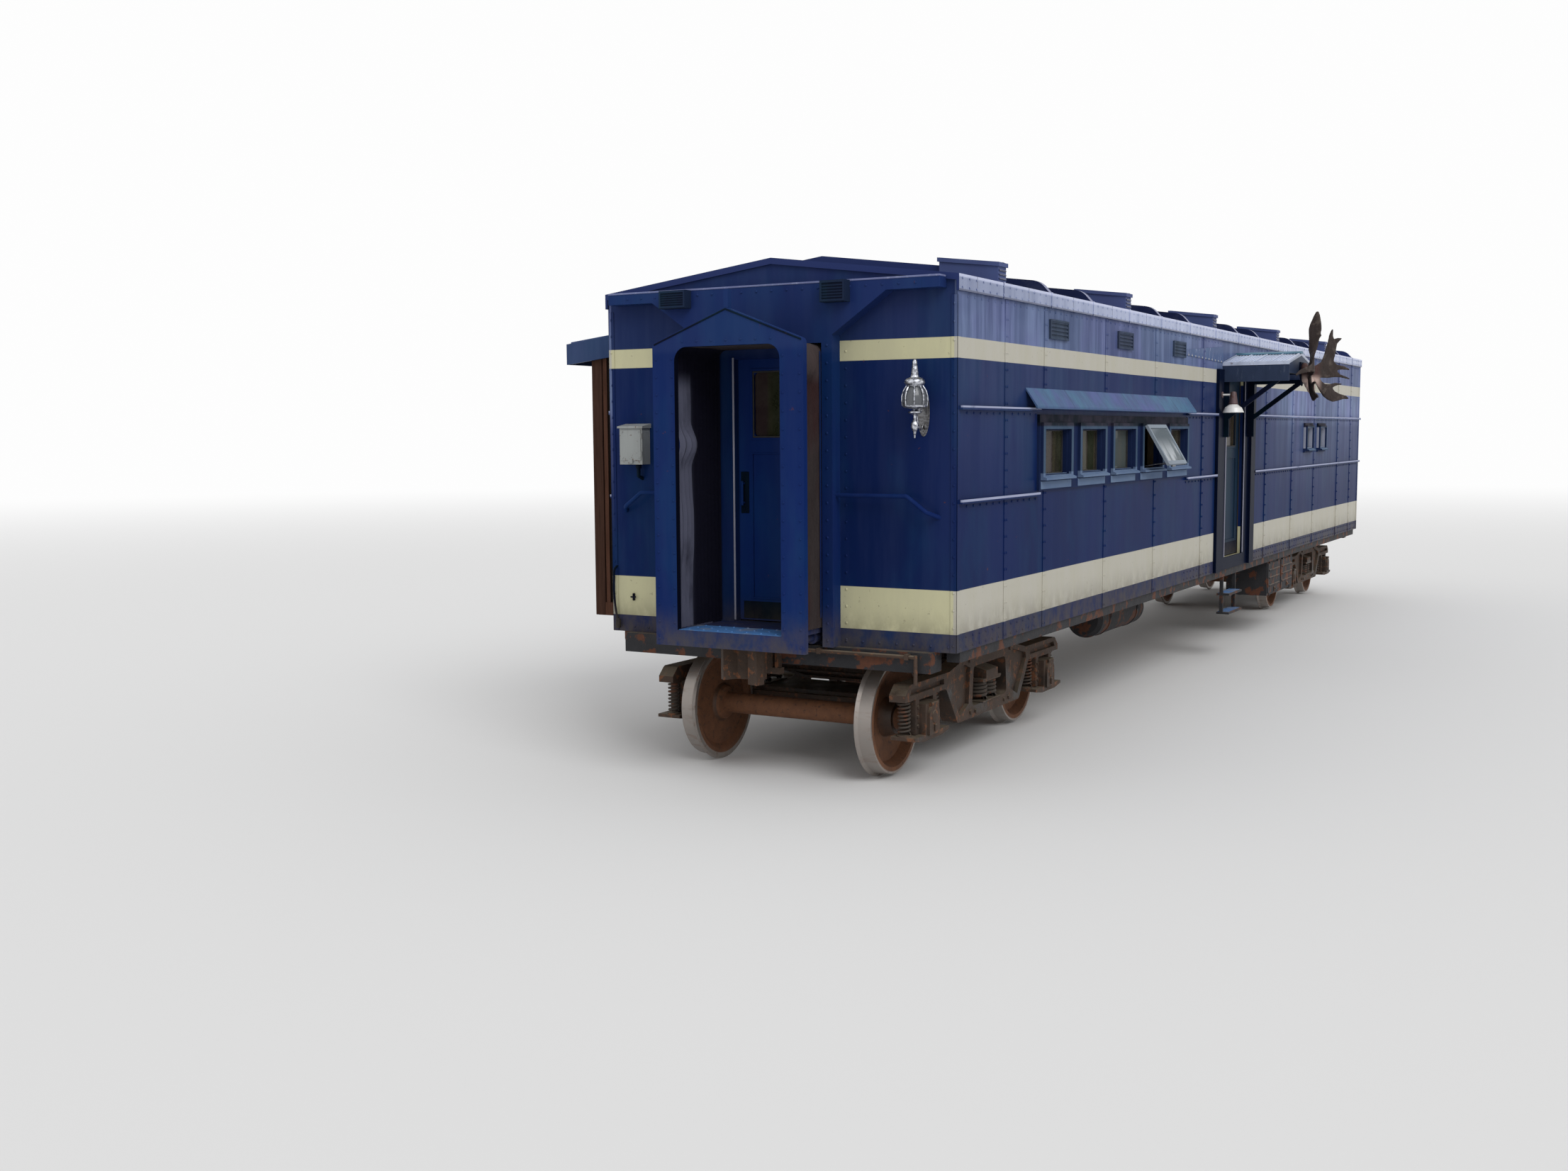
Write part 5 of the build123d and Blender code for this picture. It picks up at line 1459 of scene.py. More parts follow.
# Half of the mounting board's outline: distance from its middle and height over the eave
BOARD = ((0, -0.6), (0.05, -0.56), (0.105, -0.48), (0.12, -0.4), (0.1, -0.34))
ANTLER_TURNS = {-1: math.radians(21), 1: math.radians(35)}
BLADE_MIDDLE = 0.31
ANTLER_THICK = 0.034


def rise(value, low, high):
    """0 under one limit, 1 over the other, and smooth between."""
    share = min(1.0, max(0.0, (value - low) / (high - low)))
    return share * share * (3 - 2 * share)


def antler(outline, side, root, cup):
    """One palm, cut flat, cupped away from its middle and stood up in the plane of its side's antler."""
    half = ANTLER_THICK / 2
    palm = plate([(out, half, up) for out, up in outline], (0, -ANTLER_THICK, 0), 0)
    modify(palm, "REMESH", mode="VOXEL", voxel_size=0.009)
    for vertex in palm.data.vertices:
        out, thick, up = vertex.co
        turn = ANTLER_TURNS[side]
        twist = 0.0
        if side < 0:
            turn -= math.radians(22) * rise(out, 0.36, 0.6) * rise(-up, 0.15, 0.35) * rise(up, -0.56, -0.5)
            twist = math.radians(66) * rise(up, -0.3, -0.12)
        along = Vector((math.sin(turn), side * math.cos(turn), 0))
        across = Vector((along.y, -along.x, 0)) * side
        bowl = cup * ((out - 0.3) ** 2 + 0.6 * (up + 0.35) ** 2)
        ripple = 0.005 * math.sin(24 * out + 9 * up) * math.sin(17 * up)
        face = thick * (1.0 - 0.45 * min(1.0, max(0.0, out - 0.1) / 0.45))
        width = (out - BLADE_MIDDLE) * (1.0 + 0.25 * rise(up, -0.2, 0.0))
        out = BLADE_MIDDLE + width * math.cos(twist) - face * math.sin(twist)
        off = width * math.sin(twist) + face * math.cos(twist)
        vertex.co = root + along * out + across * (off + bowl + ripple) + Vector((0, 0, EAVE + up))
    return palm


def skull(gable):
    """The skull plate, brow ridge, nose bone and the antlers' burrs, as lumps to be run together."""
    lumps = []
    for (out, aside, up), size in SKULL:
        for side in ((-1, 1) if aside else (1,)):
            begin()
            bpy.ops.mesh.primitive_uv_sphere_add(segments=20, ring_count=12, radius=1)
            lump = bpy.context.object
            lump.scale = size
            lump.location = (gable + out, side * aside, EAVE + up)
            lumps.append(settle(lump))
    return lumps


class CABOOSE_OT_antlers(bpy.types.Operator):
    """Make the antlers over the side door, with their skull plate, nose bone and mounting board"""

    bl_idname = "caboose.antlers"
    bl_label = "Antlers"

    def execute(self, context):
        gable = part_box("antlers")[0].x
        root = Vector((gable + 0.06, 0, 0))
        shapes = skull(gable)
        for side, outline in ((-1, NEAR_PALM), (1, FAR_PALM)):
            shapes.append(antler(outline, side, root, 0.16))
            shapes.append(antler(BROW, side, root, 0.1))
        piece = joined("antler_rack", shapes)
        modify(piece, "REMESH", mode="VOXEL", voxel_size=0.007)
        modify(piece, "SMOOTH", factor=0.5, iterations=4)
        smooth(piece, 180)
        fit("antler_rack", [piece], "antler horn")
        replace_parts(piece, "antlers")
        outline = [(-y, z) for y, z in reversed(BOARD[1:])] + list(BOARD)
        board = plate([(gable, y, EAVE + z) for y, z in outline], (0.018, 0, 0), 0)
        fit("antler_board", [rounded(board, 0.005, 2)], "dark enamel")
        return {"FINISHED"}


# Radius and height over the lantern's foot
PENDANT = (
    (0, 0), (0.006, 0.006), (0.009, 0.03), (0.014, 0.05), (0.026, 0.075), (0.027, 0.1), (0.016, 0.118),
    (0.009, 0.135), (0.011, 0.16), (0.03, 0.17), (0.046, 0.176), (0.046, 0.184), (0.02, 0.192),
    (0.014, 0.2), (0, 0.2))
CUP = ((0, 0.2), (0.02, 0.201), (0.066, 0.208), (0.084, 0.216), (0.086, 0.226), (0.08, 0.23), (0, 0.23))
CAP = (
    (0, 0.356), (0.056, 0.356), (0.06, 0.366), (0.069, 0.372), (0.073, 0.384), (0.068, 0.4),
    (0.052, 0.412), (0.034, 0.418), (0, 0.42))
FINIAL = (
    (0, 0.416), (0.032, 0.416), (0.029, 0.424), (0.026, 0.44), (0.0235, 0.462), (0.02, 0.485),
    (0.0165, 0.508), (0.0145, 0.526), (0.009, 0.538), (0, 0.544))
LANTERN_GLASS = (
    (0, 0.229), (0.079, 0.229), (0.082, 0.265), (0.08, 0.29), (0.07, 0.322), (0.052, 0.35),
    (0.048, 0.358), (0, 0.358))
CAGE_BAR = (
    (0.083, 0.224), (0.0875, 0.26), (0.0865, 0.29), (0.077, 0.325), (0.06, 0.352), (0.054, 0.362))
CAGE_BARS = 8
# Distance out from the wall and height over the lantern's foot
LANTERN_ARM = ((0.012, 0.1), (0.045, 0.062), (0.095, 0.09), (0.115, 0.15), (0.138, 0.19))
LANTERN_CURL = ((0.012, 0.21), (0.06, 0.235), (0.075, 0.2), (0.055, 0.18), (0.042, 0.2))
OVAL = (0.046, 0.165)
OVAL_UP = 0.178
OVAL_CORNERS = 28


def lantern_cage(foot):
    """The lantern's pendant, cup, cap, finial and the bars round its glass."""
    profiles = ((PENDANT, 20), (FINIAL, 16), (CAP, 24), (CUP, 24))
    metal = [turned(profile, foot, steps) for profile, steps in profiles]
    for i in range(CAGE_BARS):
        angle = math.tau * (i + 0.5) / CAGE_BARS
        reach = Vector((math.cos(angle), math.sin(angle), 0))
        metal.append(bar([foot + reach * out + Vector((0, 0, up)) for out, up in CAGE_BAR], 0.0055))
    return metal


def lantern_back(foot, wall):
    """The lantern's oval back plate with its two screws, its arm and the curl over it."""
    x, z = foot.x, foot.z
    turns = [i * math.tau / OVAL_CORNERS for i in range(OVAL_CORNERS)]
    oval = [(x + OVAL[0] * math.cos(turn), wall, z + OVAL_UP + OVAL[1] * math.sin(turn)) for turn in turns]
    back = plate(oval, (0, -0.006, 0), 0)
    pick(back, "FACE", lambda face: face.normal.y < -0.9)
    bpy.ops.mesh.inset(thickness=0.012, depth=0)
    bpy.ops.mesh.extrude_region_move(TRANSFORM_OT_translate={"value": (0, -0.007, 0)})
    bpy.ops.object.mode_set(mode="OBJECT")
    pieces = [rounded(back, 0.0015)]
    for route, radius, sides in ((LANTERN_ARM, 0.0075, 2), (LANTERN_CURL, 0.0045, 1)):
        pieces.append(bar([(x, wall - out, z + up) for out, up in route], radius, "AUTO", sides))
    for up in (-0.13, 0.13):
        place = (x, wall - 0.012, z + OVAL_UP + up)
        pieces.append(button(0.007, 0.006, 0.006, 0.008, place, 10, TO_FRONT))
    return pieces


class CABOOSE_OT_lantern(bpy.types.Operator):
    """Make the wall lantern beside the front door"""

    bl_idname = "caboose.lantern"
    bl_label = "Wall lantern"

    def execute(self, context):
        low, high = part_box("wall_lantern")
        foot = Vector(((low.x + high.x) / 2, low.y + 0.0885, low.z))
        metal = lantern_cage(foot) + lantern_back(foot, high.y)
        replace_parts(fit("lantern_metal", metal, "lantern silver"), "wall_lantern")
        fit("lantern_glass", [turned(LANTERN_GLASS, foot, 16, degrees=20)], "ribbed glass")
        return {"FINISHED"}


# Radius and height over the awning lamp's foot
BULB = ((0, 0.008), (0.02, 0.014), (0.03, 0.032), (0.027, 0.05), (0.016, 0.07), (0.015, 0.088), (0, 0.088))
COLLAR = (
    (0, 0.086), (0.045, 0.086), (0.05, 0.094), (0.046, 0.11), (0.036, 0.165), (0.03, 0.21),
    (0.024, 0.222), (0, 0.224))
# Place along the car and drop below the eave
FRONT_FLASHING = ((-2.08, 0.268), (-0.62, 0.178), (-0.62, 0.349), (-2.08, 0.326))
REAR_FLASHING = ((0.62, 0.3), (0.62, 0.349), (1.0, 0.349), (1.0, 0.325))


def awning_sheets(half, start, reach):
    """The awning's ribs, ridge cap and drip edges."""
    crown, foot = under_eave(AWNING_CROWN), under_eave(AWNING_FOOT)
    chevron = ((-half, foot), (0, crown), (half, foot), (half, foot + 0.008), (0, crown + 0.009),
               (-half, foot + 0.008))
    rib = plate([(start + 0.028, y, z) for y, z in chevron], (0.009, 0, 0), 0)
    row(rib, 21, ((reach - start - 0.06) / 20, 0, 0))
    cap = ((-0.075, -0.002), (-0.07, 0.01), (-0.02, 0.026), (0.02, 0.026), (0.07, 0.01), (0.075, -0.002))
    ridge = plate([(start, y, crown + z) for y, z in cap], (reach - start + 0.004, 0, 0), 0.001)
    edges = [box((start, y - 0.004, foot - 0.03), (reach + 0.003, y + 0.004, foot + 0.009), 0.001)
             for y in (-half, half)]
    fit("awning_sheets", [rib] + edges, "galvanised sheet")
    fit("awning_ridge", [ridge], "awning teal")


def awning_flashing(start):
    """Sheets on the wall before and behind the awning, and the front one's screws."""
    sheets = [plate([(start, y, under_eave(drop)) for y, drop in outline], (0.006, 0, 0), 0.001)
              for outline in (FRONT_FLASHING, REAR_FLASHING)]
    fit("awning_flashing", sheets, "flashing enamel")
    screws = [((start + 0.006, -2.0, under_eave(0.318)), (start + 0.006, -0.7, under_eave(0.34)))]
    fit("flashing_screws", rivet_rows(screws, (1, 0, 0)), "worn metal")


def awning_timbers(start, reach, foot):
    """Two beams out from the wall and two purlins across them."""
    beams = [box((start + 0.004, y - 0.02, foot - 0.16), (reach - 0.035, y + 0.02, foot - 0.1), 0.003)
             for y in (-0.578, 0.578)]
    purlins = [box((x, -0.585, foot - 0.062), (x + 0.04, 0.585, foot - 0.024), 0.003) for x in (1.62, 1.9)]
    fit("awning_timbers", beams + purlins, "plain enamel")


class CABOOSE_OT_awning(bpy.types.Operator):
    """Add the awning's ribs, ridge, drip edges, timbers and flashing, and its lamp's bulb and collar"""

    bl_idname = "caboose.awning"
    bl_label = "Awning"

    def execute(self, context):
        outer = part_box("awning_roof")[1]
        awning_sheets(outer.y, HALF_WIDTH, outer.x)
        awning_flashing(HALF_WIDTH)
        awning_timbers(HALF_WIDTH, outer.x, under_eave(AWNING_FOOT))
        lamp = Vector((HALF_WIDTH + 0.15, -0.73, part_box("awning_lamp")[0].z))
        fit("awning_bulb", [turned(BULB, lamp, 20)], "ribbed glass")
        flange = button(0.035, 0.033, 0.008, 0.009, (HALF_WIDTH + 0.03, lamp.y, lamp.z + 0.19), 16, TO_RIGHT)
        fit("awning_lamp_collar", [turned(COLLAR, lamp, 24), flange], "rusty metal")
        return {"FINISHED"}


# Place across the car and drop below the eave, with the distance out from the end wall between them
DRAIN = (
    (-1.42, -0.004, 2.1), (-1.43, 0.026, 2.125), (-1.436, 0.028, 2.2), (-1.436, 0.028, 2.34),
    (-1.42, 0.03, 2.46), (-1.403, 0.032, 2.52))
DRAIN_CAP = ((0, 0), (0.016, 0.002), (0.021, 0.012), (0.021, 0.066), (0.012, 0.078), (0, 0.078))
# Left and right sides, and drops of foot and top
SERVICE_BOX = (-1.305, -1.095, 1.307, 1.03)
END_LAMPS = ((0.498, 0.698, 0.165, 0.015), (-0.86, -0.625, 0.152, 0.02))
# Distances of the vents' middles from the front end wall
VENTS = (2.0, 3.72, 5.46)


def service_box(wall):
    """The service box's door, latch, screws and hinges, and the conduit out of its foot."""
    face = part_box("service_box")[0].y + 0.015
    left, right, foot, top = SERVICE_BOX
    foot, top = under_eave(foot), under_eave(top)
    pieces = [box((left + 0.012, face - 0.006, foot + 0.03), (right - 0.012, face + 0.001, top - 0.012)),
              box((left + 0.085, face - 0.012, foot + 0.008), (right - 0.085, face + 0.001, foot + 0.04))]
    pieces += [button(0.008, 0.007, 0.004, 0.005, (x, face - 0.005, z), 8, TO_FRONT)
               for x in (left + 0.03, right - 0.03) for z in (foot + 0.05, top - 0.03)]
    x, y = right - 0.006, face - 0.004
    pieces += [bar([(x, y, z - 0.02), (x, y, z + 0.02)], 0.005) for z in (foot + 0.08, top - 0.06)]
    fit("service_box_door", pieces, "box grey")
    x, y = (left + right) / 2 + 0.03, face + 0.055
    pipe = bar([(x, y, foot + 0.01), (x, y, foot - 0.09), (x, wall + 0.004, foot - 0.11)], 0.015, "VECTOR", 2)
    nut = turned([(0, 0), (0.022, 0), (0.022, 0.03), (0.016, 0.034), (0, 0.034)], (x, y, foot - 0.03), 12)
    fit("service_conduit", [pipe, nut], "dark enamel")


def drain_pipe(wall):
    """A short stiff drain pipe with a cap, and a small tap beside it."""
    pipe = bar([(x, wall - out, under_eave(drop)) for x, out, drop in DRAIN], 0.009, "AUTO", 2)
    cap = turned(DRAIN_CAP, (-1.399, wall - 0.032, under_eave(2.59)), 14)
    x, z = -1.264, under_eave(2.34)
    tap = [box((x - 0.024, wall - 0.022, z - 0.006), (x + 0.024, wall - 0.012, z + 0.006)),
           box((x - 0.007, wall - 0.018, z - 0.028), (x + 0.007, wall + 0.002, z + 0.028))]
    fit("drain_pipe", [pipe, cap] + tap, "dark enamel")


def end_lamps():
    """A frame and six slats on each of the small lamps over the front end's gangway."""
    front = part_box("end_lamps")[0].y
    grilles = []
    frames = []
    for left, right, foot, top in END_LAMPS:
        foot, top = under_eave(foot), under_eave(top)
        frames.append(ring((left + 0.004, front - 0.006, foot + 0.004),
                           (right - 0.004, front + 0.001, top - 0.004), 0.014, 1))
        slat = box((left + 0.018, front - 0.004, foot + 0.022),
                   (right - 0.018, front + 0.001, foot + 0.03), 0.001)
        grilles.append(row(slat, 6, (0, 0, (top - foot - 0.05) / 5)))
    fit("end_lamp_frames", frames, "lamp enamel")
    fit("end_lamp_grilles", grilles, "dark enamel")


class CABOOSE_OT_boxes(bpy.types.Operator):
    """Add the service box's door and conduit, the drain pipe, the end lamps' grilles and the vents' frames"""

    bl_idname = "caboose.boxes"
    bl_label = "Boxes, lamps and vents"

    def execute(self, context):
        service_box(-HALF_LENGTH)
        drain_pipe(-HALF_LENGTH)
        end_lamps()
        face, half = HALF_WIDTH + 0.014, 0.213
        foot, top = under_eave(0.355), under_eave(0.202)
        frames = [ring((face - 0.001, y - half, foot), (face + 0.004, y + half, top), 0.016, 0)
                  for y in map(from_front, VENTS)]
        both(RIGHT_LEFT[:1], "vent_frames", frames, "vent enamel")
        return {"FINISHED"}


BOARD_PITCH = 0.14


class CABOOSE_OT_lean_to(bpy.types.Operator):
    """Add the lean-to's battens, corner boards, base board and roof seams"""

    bl_idname = "caboose.lean_to"
    bl_label = "Lean-to"

    def execute(self, context):
        low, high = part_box("lean_to_walls")
        boards = []
        corners = []

        def head(x):
            """Height of the walls' top under the sloped roof."""
            return under_eave(0.221) - (abs(x) - HALF_WIDTH) * LEAN_TO_SLOPE - 0.04

        for y, outward in ((low.y, -1), (high.y, 1)):
            for x in [low.x + 0.11 + BOARD_PITCH * i for i in range(4)]:
                boards.append(box((x - 0.02, y, low.z + 0.1), (x + 0.02, y + outward * 0.014, head(x))))
            for x in (low.x + 0.038, -HALF_WIDTH - 0.045):
                corners.append(box((x - 0.045, y, low.z), (x + 0.045, y + outward * 0.02, head(x)), 0.003))
            boards.append(box((low.x, y, low.z), (-HALF_WIDTH, y + outward * 0.018, low.z + 0.11), 0.003))
        for y in [low.y + 0.16 + BOARD_PITCH * i for i in range(11)]:
            boards.append(box((low.x - 0.014, y - 0.02, low.z + 0.1), (low.x, y + 0.02, head(low.x))))
        for y in (low.y + 0.028, high.y - 0.028):
            corners.append(box((low.x - 0.02, y - 0.045, low.z), (low.x, y + 0.045, head(low.x)), 0.003))
        boards.append(box((low.x - 0.018, low.y, low.z), (low.x, high.y, low.z + 0.11), 0.003))
        fit("lean_to_battens", boards, "cedar boards")
        fit("lean_to_corner_boards", corners, "pale cedar")

        low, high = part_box("lean_to_roof")
        fall = (-low.x - HALF_WIDTH) * LEAN_TO_SLOPE
        seam = ((-HALF_WIDTH, 0.001), (-HALF_WIDTH, 0.02), (low.x, 0.02 - fall), (low.x, 0.001 - fall))
        first = plate([(x, low.y + 0.06, high.z + z) for x, z in seam], (0, 0.012, 0), 0.002)
        row(first, 6, (0, (high.y - low.y - 0.132) / 5, 0))
        fit("lean_to_seams", [first], "plain enamel")
        return {"FINISHED"}


def coil(radius, wire, height, turns, centre):
    """A coil spring: a small disc carried round and up, with both ends closed."""
    begin()
    bpy.ops.mesh.primitive_circle_add(
        vertices=7, radius=wire, fill_type="NOTHING", location=(radius - wire, 0, 0), rotation=TO_FRONT)
    piece = settle(bpy.context.object)
    pitch = (height - 2 * wire) / turns
    modify(piece, "SCREW", axis="Z", angle=math.tau, screw_offset=pitch, iterations=turns, steps=14,
           render_steps=14, use_merge_vertices=False)
    pick(piece, "VERT", lambda vertex: True)
    bpy.ops.mesh.fill_holes(sides=0)
    bpy.ops.object.mode_set(mode="OBJECT")
    close_up(piece)
    piece.location = Vector(centre) + Vector((0, 0, wire - height / 2))
    return smooth(settle(piece), 60)


AXLE = 1.22
SPRING_X = 0.995
FRAME_FACE = 1.06
LID_FACE = 1.13
# Place along the truck from its centre, and height, of the bolts through a side frame
FRAME_BOLTS = ((0.4, 0.35), (0.42, 0.755), (0.3, 0.345))


def truck_springs(centre):
    """Nested bolster springs, the equaliser's springs and the seats of both."""
    coils = []
    seats = []
    for x in (-SPRING_X, SPRING_X):
        for y in (centre - 0.095, centre + 0.095):
            coils.append(coil(0.078, 0.0135, 0.15, 4, (x, y, 0.475)))
            coils.append(coil(0.045, 0.009, 0.15, 6, (x, y, 0.475)))
        for y in [centre + end * AXLE + side * 0.243 for end in (-1, 1) for side in (-1, 1)]:
            coils.append(coil(0.05, 0.0085, 0.244, 8, (x, y, 0.468)))
            seats += [button(0.056, 0.054, 0.01, 0.01, (x, y, z), 14) for z in (0.336, 0.59)]
        for z in (0.39, 0.55):
            seats.append(box((x - 0.085, centre - 0.18, z), (x + 0.085, centre + 0.18, z + 0.01), 0.003))
    made = both(FRONT_REAR, "coil_springs", coils, "spring steel", "truck")
    for (end, turn), piece in zip(FRONT_REAR, made):
        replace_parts(piece, f"{end}_truck_springs")
    both(FRONT_REAR, "spring_seats", seats, "cast steel", "truck")


def truck_bolts(centre):
    """Bolts of the side frames, and the journal boxes' lids with latch and hinge."""
    bolts = []
    lids = []
    for side in (-1, 1):
        lean = (0, side * math.radians(90), 0)
        face, lid = side * FRAME_FACE, side * LID_FACE
        for axle in (centre - AXLE, centre + AXLE):
            for y in (axle - 0.152, axle + 0.152):
                bolts += [button(0.015, 0.014, 0.011, 0.012, (face, y, z), 6, lean, 20)
                          for z in (0.40, 0.47, 0.54)]
            lids.append(turned([(0, 0), (0.05, 0), (0.046, 0.006), (0.02, 0.011), (0, 0.012)],
                               (lid, axle, 0.455), 20, lean))
            lids.append(box((lid, axle - 0.014, 0.346), (lid + side * 0.014, axle + 0.014, 0.40), 0.004))
            lids.append(box((lid - side * 0.02, axle - 0.03, 0.536),
                            (lid + side * 0.004, axle + 0.03, 0.566), 0.005))
        for y, z in FRAME_BOLTS:
            bolts += [button(0.018, 0.017, 0.013, 0.014, (face, centre + end * y, z), 6, lean, 20)
                      for end in (-1, 1)]
    both(FRONT_REAR, "truck_bolts", bolts, "cast steel", "truck")
    both(FRONT_REAR, "journal_lids", lids, "cast steel", "truck")


class CABOOSE_OT_trucks(bpy.types.Operator):
    """Make the trucks' coil springs with their seats, and add bolts, lids and latches"""

    bl_idname = "caboose.trucks"
    bl_label = "Truck fittings"

    def execute(self, context):
        low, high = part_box("front_truck_springs")
        centre = (low.y + high.y) / 2
        truck_springs(centre)
        truck_bolts(centre)
        return {"FINISHED"}


TRAIN_PIPE_X = 0.24
# Heights of the train pipe over the trucks and between them
PIPE_HIGH = 0.94
PIPE_LOW = 0.78


def floor_pipes():
    """The train pipe with its two branches, a conduit along each side, and the angle cocks at the ends."""
    dips = ((-7.6, PIPE_HIGH), (-5.2, PIPE_HIGH), (-4.6, PIPE_LOW),
            (4.6, PIPE_LOW), (5.2, PIPE_HIGH), (7.6, PIPE_HIGH))
    routes = (
        ([(TRAIN_PIPE_X, y, z) for y, z in dips], 0.021, 2),
        ([(-0.24, -4.0, 0.79), (-0.24, 1.0, 0.79), (-0.40, 1.15, 0.79)], 0.0135, 1),
        ([(0.24, -1.2, 0.78), (0.42, -1.35, 0.76), (0.52, -1.6, 0.72)], 0.0135, 1),
        ([(1.2, 2.1, 0.93), (1.2, -4.8, 0.93)], 0.016, 1),
        ([(-1.2, -5.0, 0.93), (-1.2, 5.0, 0.93)], 0.016, 1))
    pipes = [bar(points, radius, "VECTOR", sides) for points, radius, sides in routes]
    fit("floor_pipes", pipes, "underframe black")
    cocks = []
    for side in (-1, 1):
        x, y = side * TRAIN_PIPE_X, side * 7.9
        cocks.append(bar([(x, side * 7.58, PIPE_HIGH), (x, side * 7.92, 0.90)], 0.024, "VECTOR", 2))
        cocks.append(turned([(0, 0), (0.034, 0), (0.036, 0.03), (0.028, 0.06), (0, 0.064)], (x, y, 0.88), 12))
        cocks.append(box((x - 0.012, y - 0.008, 0.938), (x + 0.1, y + 0.008, 0.952), 0.003))
    fit("angle_cocks", cocks, "cast steel")


def straps_and_latches():
    """Straps of the air tank, battery boxes and train pipe, and the battery boxes' latches."""
    tank_x, tank_z = 0.62, 0.628
    band = [(0.1915, -0.022), (0.197, -0.022), (0.197, 0.022), (0.1915, 0.022), (0.1915, -0.022)]
    straps = []
    for y in (-2.35, -1.45):
        straps.append(turned(band, (tank_x, y, tank_z), 28, TO_FRONT))
        straps += [bar([(x, y, tank_z), (x, y, 0.9)], 0.009) for x in (tank_x - 0.194, tank_x + 0.194)]
    for y in (2.14, 3.31):
        straps += [box((0.896, y - 0.025, 0.462), (1.404, y + 0.025, 0.470), 0.001),
                   box((1.4, y - 0.025, 0.464), (1.407, y + 0.025, 0.905), 0.001),
                   box((0.893, y - 0.025, 0.464), (0.9, y + 0.025, 0.905), 0.001)]
    straps += [box((0.165, y - 0.02, 0.752), (0.262, y + 0.02, 0.758), 0.001)
               for y in (-3.3, -2.6, 0.5, 2.6, 3.3)]
    fit("tank_and_box_straps", straps, "underframe black")
    latches = []
    for y in (2.362, 3.088):
        hasp = ((1.426, -0.02), (1.44, -0.02), (1.44, 0.02), (1.426, 0.02))
        latches += [box((1.412, y - 0.03, 0.508), (1.424, y + 0.03, 0.56), 0.003),
                    bar([(x, y + along, 0.53) for x, along in hasp], 0.005)]
    fit("battery_box_latches", latches, "cast steel")


class CABOOSE_OT_underside(bpy.types.Operator):
    """Add train pipe, conduits, cocks, straps, latches, brake rods and step treads under the floor"""

    bl_idname = "caboose.underside"
    bl_label = "Pipes and straps"

    def execute(self, context):
        floor_pipes()
        straps_and_latches()
        rods = [bar([(-0.24, 0.9, 0.69), (-0.24, end, 0.69)], 0.012) for end in (-4.6, 4.6)]
        fit("brake_rods", rods, "underframe black")
        treads = [box((x, -0.262, z), (x + 0.006, 0.262, z + 0.006), 0.0015)
                  for z in (0.502, 0.712) for x in [1.368 + 0.018 * i for i in range(7)]]
        both(RIGHT_LEFT, "step_treads", treads, "tread plate")
        return {"FINISHED"}


VENTILATOR_OUT = 1.462
VENTILATOR_LID = (0.986, 1.476)
SEAM_RIVET_PITCH = 0.115


def on_roof(x):
    """Height of the sloped roof at a distance from the ridge."""
    return RIDGE - ROOF_SLOPE * x


class CABOOSE_OT_roof(bpy.types.Operator):
    """Add the ventilators' louvres and lid straps, and the rivets of the roof's seams"""

    bl_idname = "caboose.roof"
    bl_label = "Roof fittings"

    def execute(self, context):
        louvres = []
        bands = []
        for y in [from_front(FIRST_ROOF_SEAM + 3 * i) for i in range(5)]:
            for i in range(3):
                x, z = VENTILATOR_OUT, on_roof(VENTILATOR_OUT) + 0.018 + 0.03 * i
                louvres.append(box((x, y - 0.066, z), (x + 0.008, y + 0.066, z + 0.012)))
            ends = [(x, on_roof(x) + 0.14) for x in VENTILATOR_LID]
            outline = ends + [(x, z + 0.004) for x, z in reversed(ends)]
            bands.append(plate([(x, y - 0.011, z) for x, z in outline], (0, 0.022, 0), 0.0008))
        both(RIGHT_LEFT, "ventilator_louvres", louvres, "roof enamel")
        both(RIGHT_LEFT, "ventilator_bands", bands, "roof enamel")

        head = rivet_head(context.scene.caboose_rivets)
        lean = Matrix.Rotation(math.atan(ROOF_SLOPE), 4, "Y")
        step = (SEAM_RIVET_PITCH, 0, -SEAM_RIVET_PITCH * ROOF_SLOPE)
        rows = []
        for y in [from_front(FIRST_ROOF_SEAM + i) + side for i in range(15) for side in (-0.05, 0.05)]:
            rows.append(row(twin(head, Matrix.Translation((0.12, y, on_roof(0.12))) @ lean), 8, step))
        bpy.data.objects.remove(head)
        both(RIGHT_LEFT, "roof_rivets", rows, "roof enamel")
        return {"FINISHED"}


def aim(thing, place, yaw, pitch, roll):
    """Turns a camera as the photograph's was: yaw to the left of +Y, pitch downwards."""
    ahead = Vector((-math.sin(yaw) * math.cos(pitch), math.cos(yaw) * math.cos(pitch), -math.sin(pitch)))
    flat = Vector((math.cos(yaw), math.sin(yaw), 0))
    top = flat.cross(ahead)
    right = math.cos(roll) * flat + math.sin(roll) * top
    above = -math.sin(roll) * flat + math.cos(roll) * top
    stand = Matrix((right, above, -ahead)).transposed().to_4x4()
    thing.matrix_world = Matrix.Translation(place) @ stand


STUDIO_WHITE = (0.985, 0.985, 0.985)


def studio_floor(colour):
    """A wide round floor that fades to white far from the car."""
    begin()
    bpy.ops.mesh.primitive_circle_add(vertices=96, radius=260, fill_type="NGON", location=(0, 0, GROUND))
    floor = bpy.context.object
    floor.name = "studio_floor"
    settle(floor)
    f = Finish("studio floor", Roughness=0.9, Specular_IOR_Level=0.1)
    f.wire(Base_Color=colour)
    away = (f.x * f.x + f.y * f.y) ** 0.5
    white = f.node("Emission", None, {"Color": STUDIO_WHITE, "Strength": 1.0})
    lit = Wire(f, f.shader.outputs[0])
    blended = f.node("MixShader", None, {0: away.above(38, 24), 1: lit, 2: white})
    f.feed(f.tree.nodes["Material Output"].inputs["Surface"], blended)
    floor.data.materials.append(f.material)


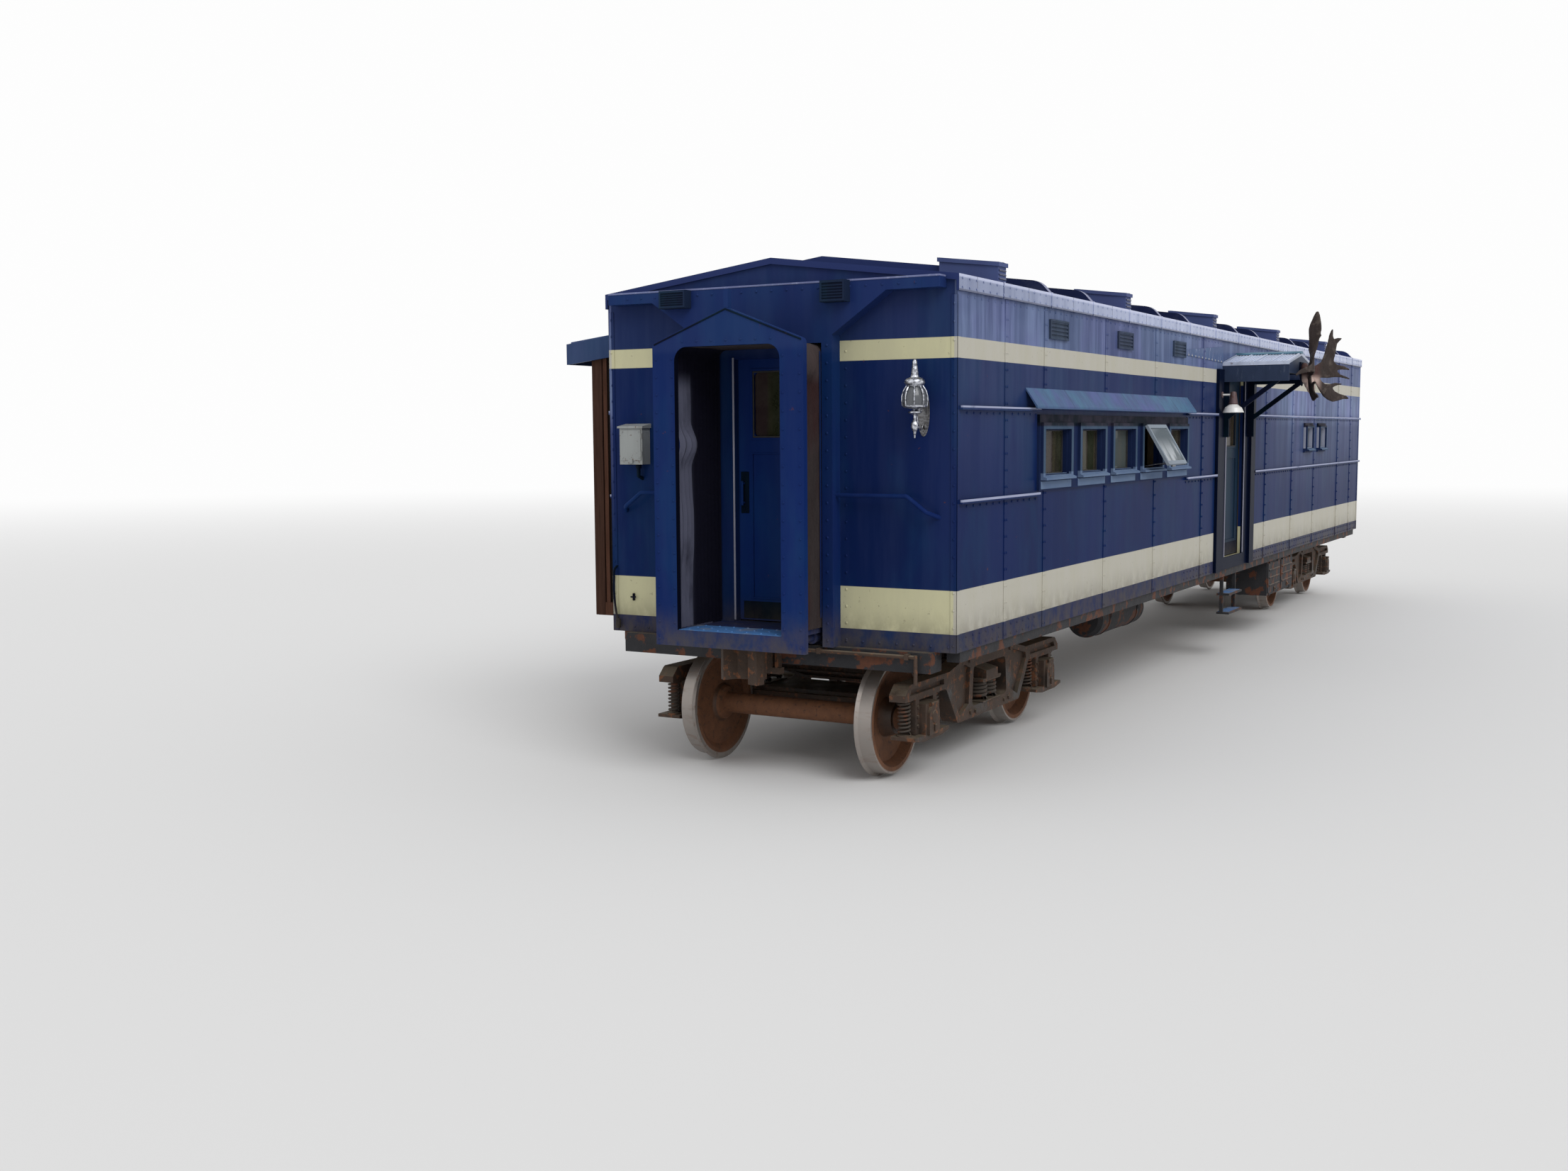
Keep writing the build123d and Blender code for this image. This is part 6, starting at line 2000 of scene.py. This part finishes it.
def studio_world(sky):
    """Even light of one strength on the car, and white behind it, in its glass and on its metal."""
    world = bpy.data.worlds.new("studio")
    world.use_nodes = True
    nodes, links = world.node_tree.nodes, world.node_tree.links
    path = nodes.new("ShaderNodeLightPath")
    seen = path.outputs["Is Camera Ray"]
    for ray in ("Is Glossy Ray", "Is Transmission Ray"):
        either = nodes.new("ShaderNodeMath")
        either.operation = "MAXIMUM"
        links.new(seen, either.inputs[0])
        links.new(path.outputs[ray], either.inputs[1])
        seen = either.outputs[0]
    level = nodes.new("ShaderNodeMapRange")
    level.inputs["To Min"].default_value = sky
    level.inputs["To Max"].default_value = 1.0
    links.new(seen, level.inputs["Value"])
    links.new(level.outputs[0], nodes["Background"].inputs["Strength"])
    nodes["Background"].inputs["Color"].default_value = (*STUDIO_WHITE, 1)
    return world


class CABOOSE_OT_stage(bpy.types.Operator):
    """Set out the studio: floor, even light and the photograph's camera"""

    bl_idname = "caboose.stage"
    bl_label = "Stage"

    def execute(self, context):
        stage = context.scene.caboose_stage
        studio_floor(tuple(stage.floor))
        context.scene.world = studio_world(stage.sky)

        bpy.ops.object.light_add(type="SUN", location=(12, -10, 20))
        sun = context.object
        sun.name = "soft_sun"
        sun.data.energy = stage.key
        sun.data.angle = math.radians(35)
        sun.rotation_euler = (math.radians(48), math.radians(8), math.radians(48))

        bpy.ops.object.camera_add()
        camera = context.object
        camera.name = "photograph_camera"
        camera.data.sensor_width = 36
        camera.data.lens = stage.lens
        camera.data.clip_end = 600
        aim(camera, Vector(stage.eye), stage.yaw, stage.pitch, stage.roll)
        context.scene.camera = camera
        context.scene.view_settings.view_transform = "Standard"
        return {"FINISHED"}


SETTINGS = (
    ("caboose_paint", PaintSettings),
    ("caboose_rivets", RivetSettings),
    ("caboose_stage", StageSettings),
)
OPERATORS = (
    CABOOSE_OT_paint,
    CABOOSE_OT_shell,
    CABOOSE_OT_roof,
    CABOOSE_OT_lights,
    CABOOSE_OT_ends,
    CABOOSE_OT_antlers,
    CABOOSE_OT_lantern,
    CABOOSE_OT_awning,
    CABOOSE_OT_boxes,
    CABOOSE_OT_lean_to,
    CABOOSE_OT_trucks,
    CABOOSE_OT_underside,
    CABOOSE_OT_stage,
)


class CABOOSE_PT_panel(bpy.types.Panel):
    """Lists the sizes, the colours and the steps that make the car"""

    bl_idname = "CABOOSE_PT_panel"
    bl_label = "Guest caboose"
    bl_space_type = "VIEW_3D"
    bl_region_type = "UI"
    bl_category = "Caboose"

    def draw(self, context):
        for name, group in SETTINGS:
            column = self.layout.box().column()
            for key in group.__annotations__:
                column.prop(getattr(context.scene, name), key)
        for operator in OPERATORS:
            self.layout.operator(operator.bl_idname)


def register():
    for name, group in SETTINGS:
        bpy.utils.register_class(group)
        setattr(bpy.types.Scene, name, PointerProperty(type=group))
    for kind in (*OPERATORS, CABOOSE_PT_panel):
        bpy.utils.register_class(kind)


def unregister():
    for kind in reversed((*OPERATORS, CABOOSE_PT_panel)):
        bpy.utils.unregister_class(kind)
    for name, group in reversed(SETTINGS):
        delattr(bpy.types.Scene, name)
        bpy.utils.unregister_class(group)


def main():
    """Makes the whole car."""
    register()
    for operator in OPERATORS:
        group, step = operator.bl_idname.split(".")
        getattr(getattr(bpy.ops, group), step)()


if __name__ == "__main__":
    main()
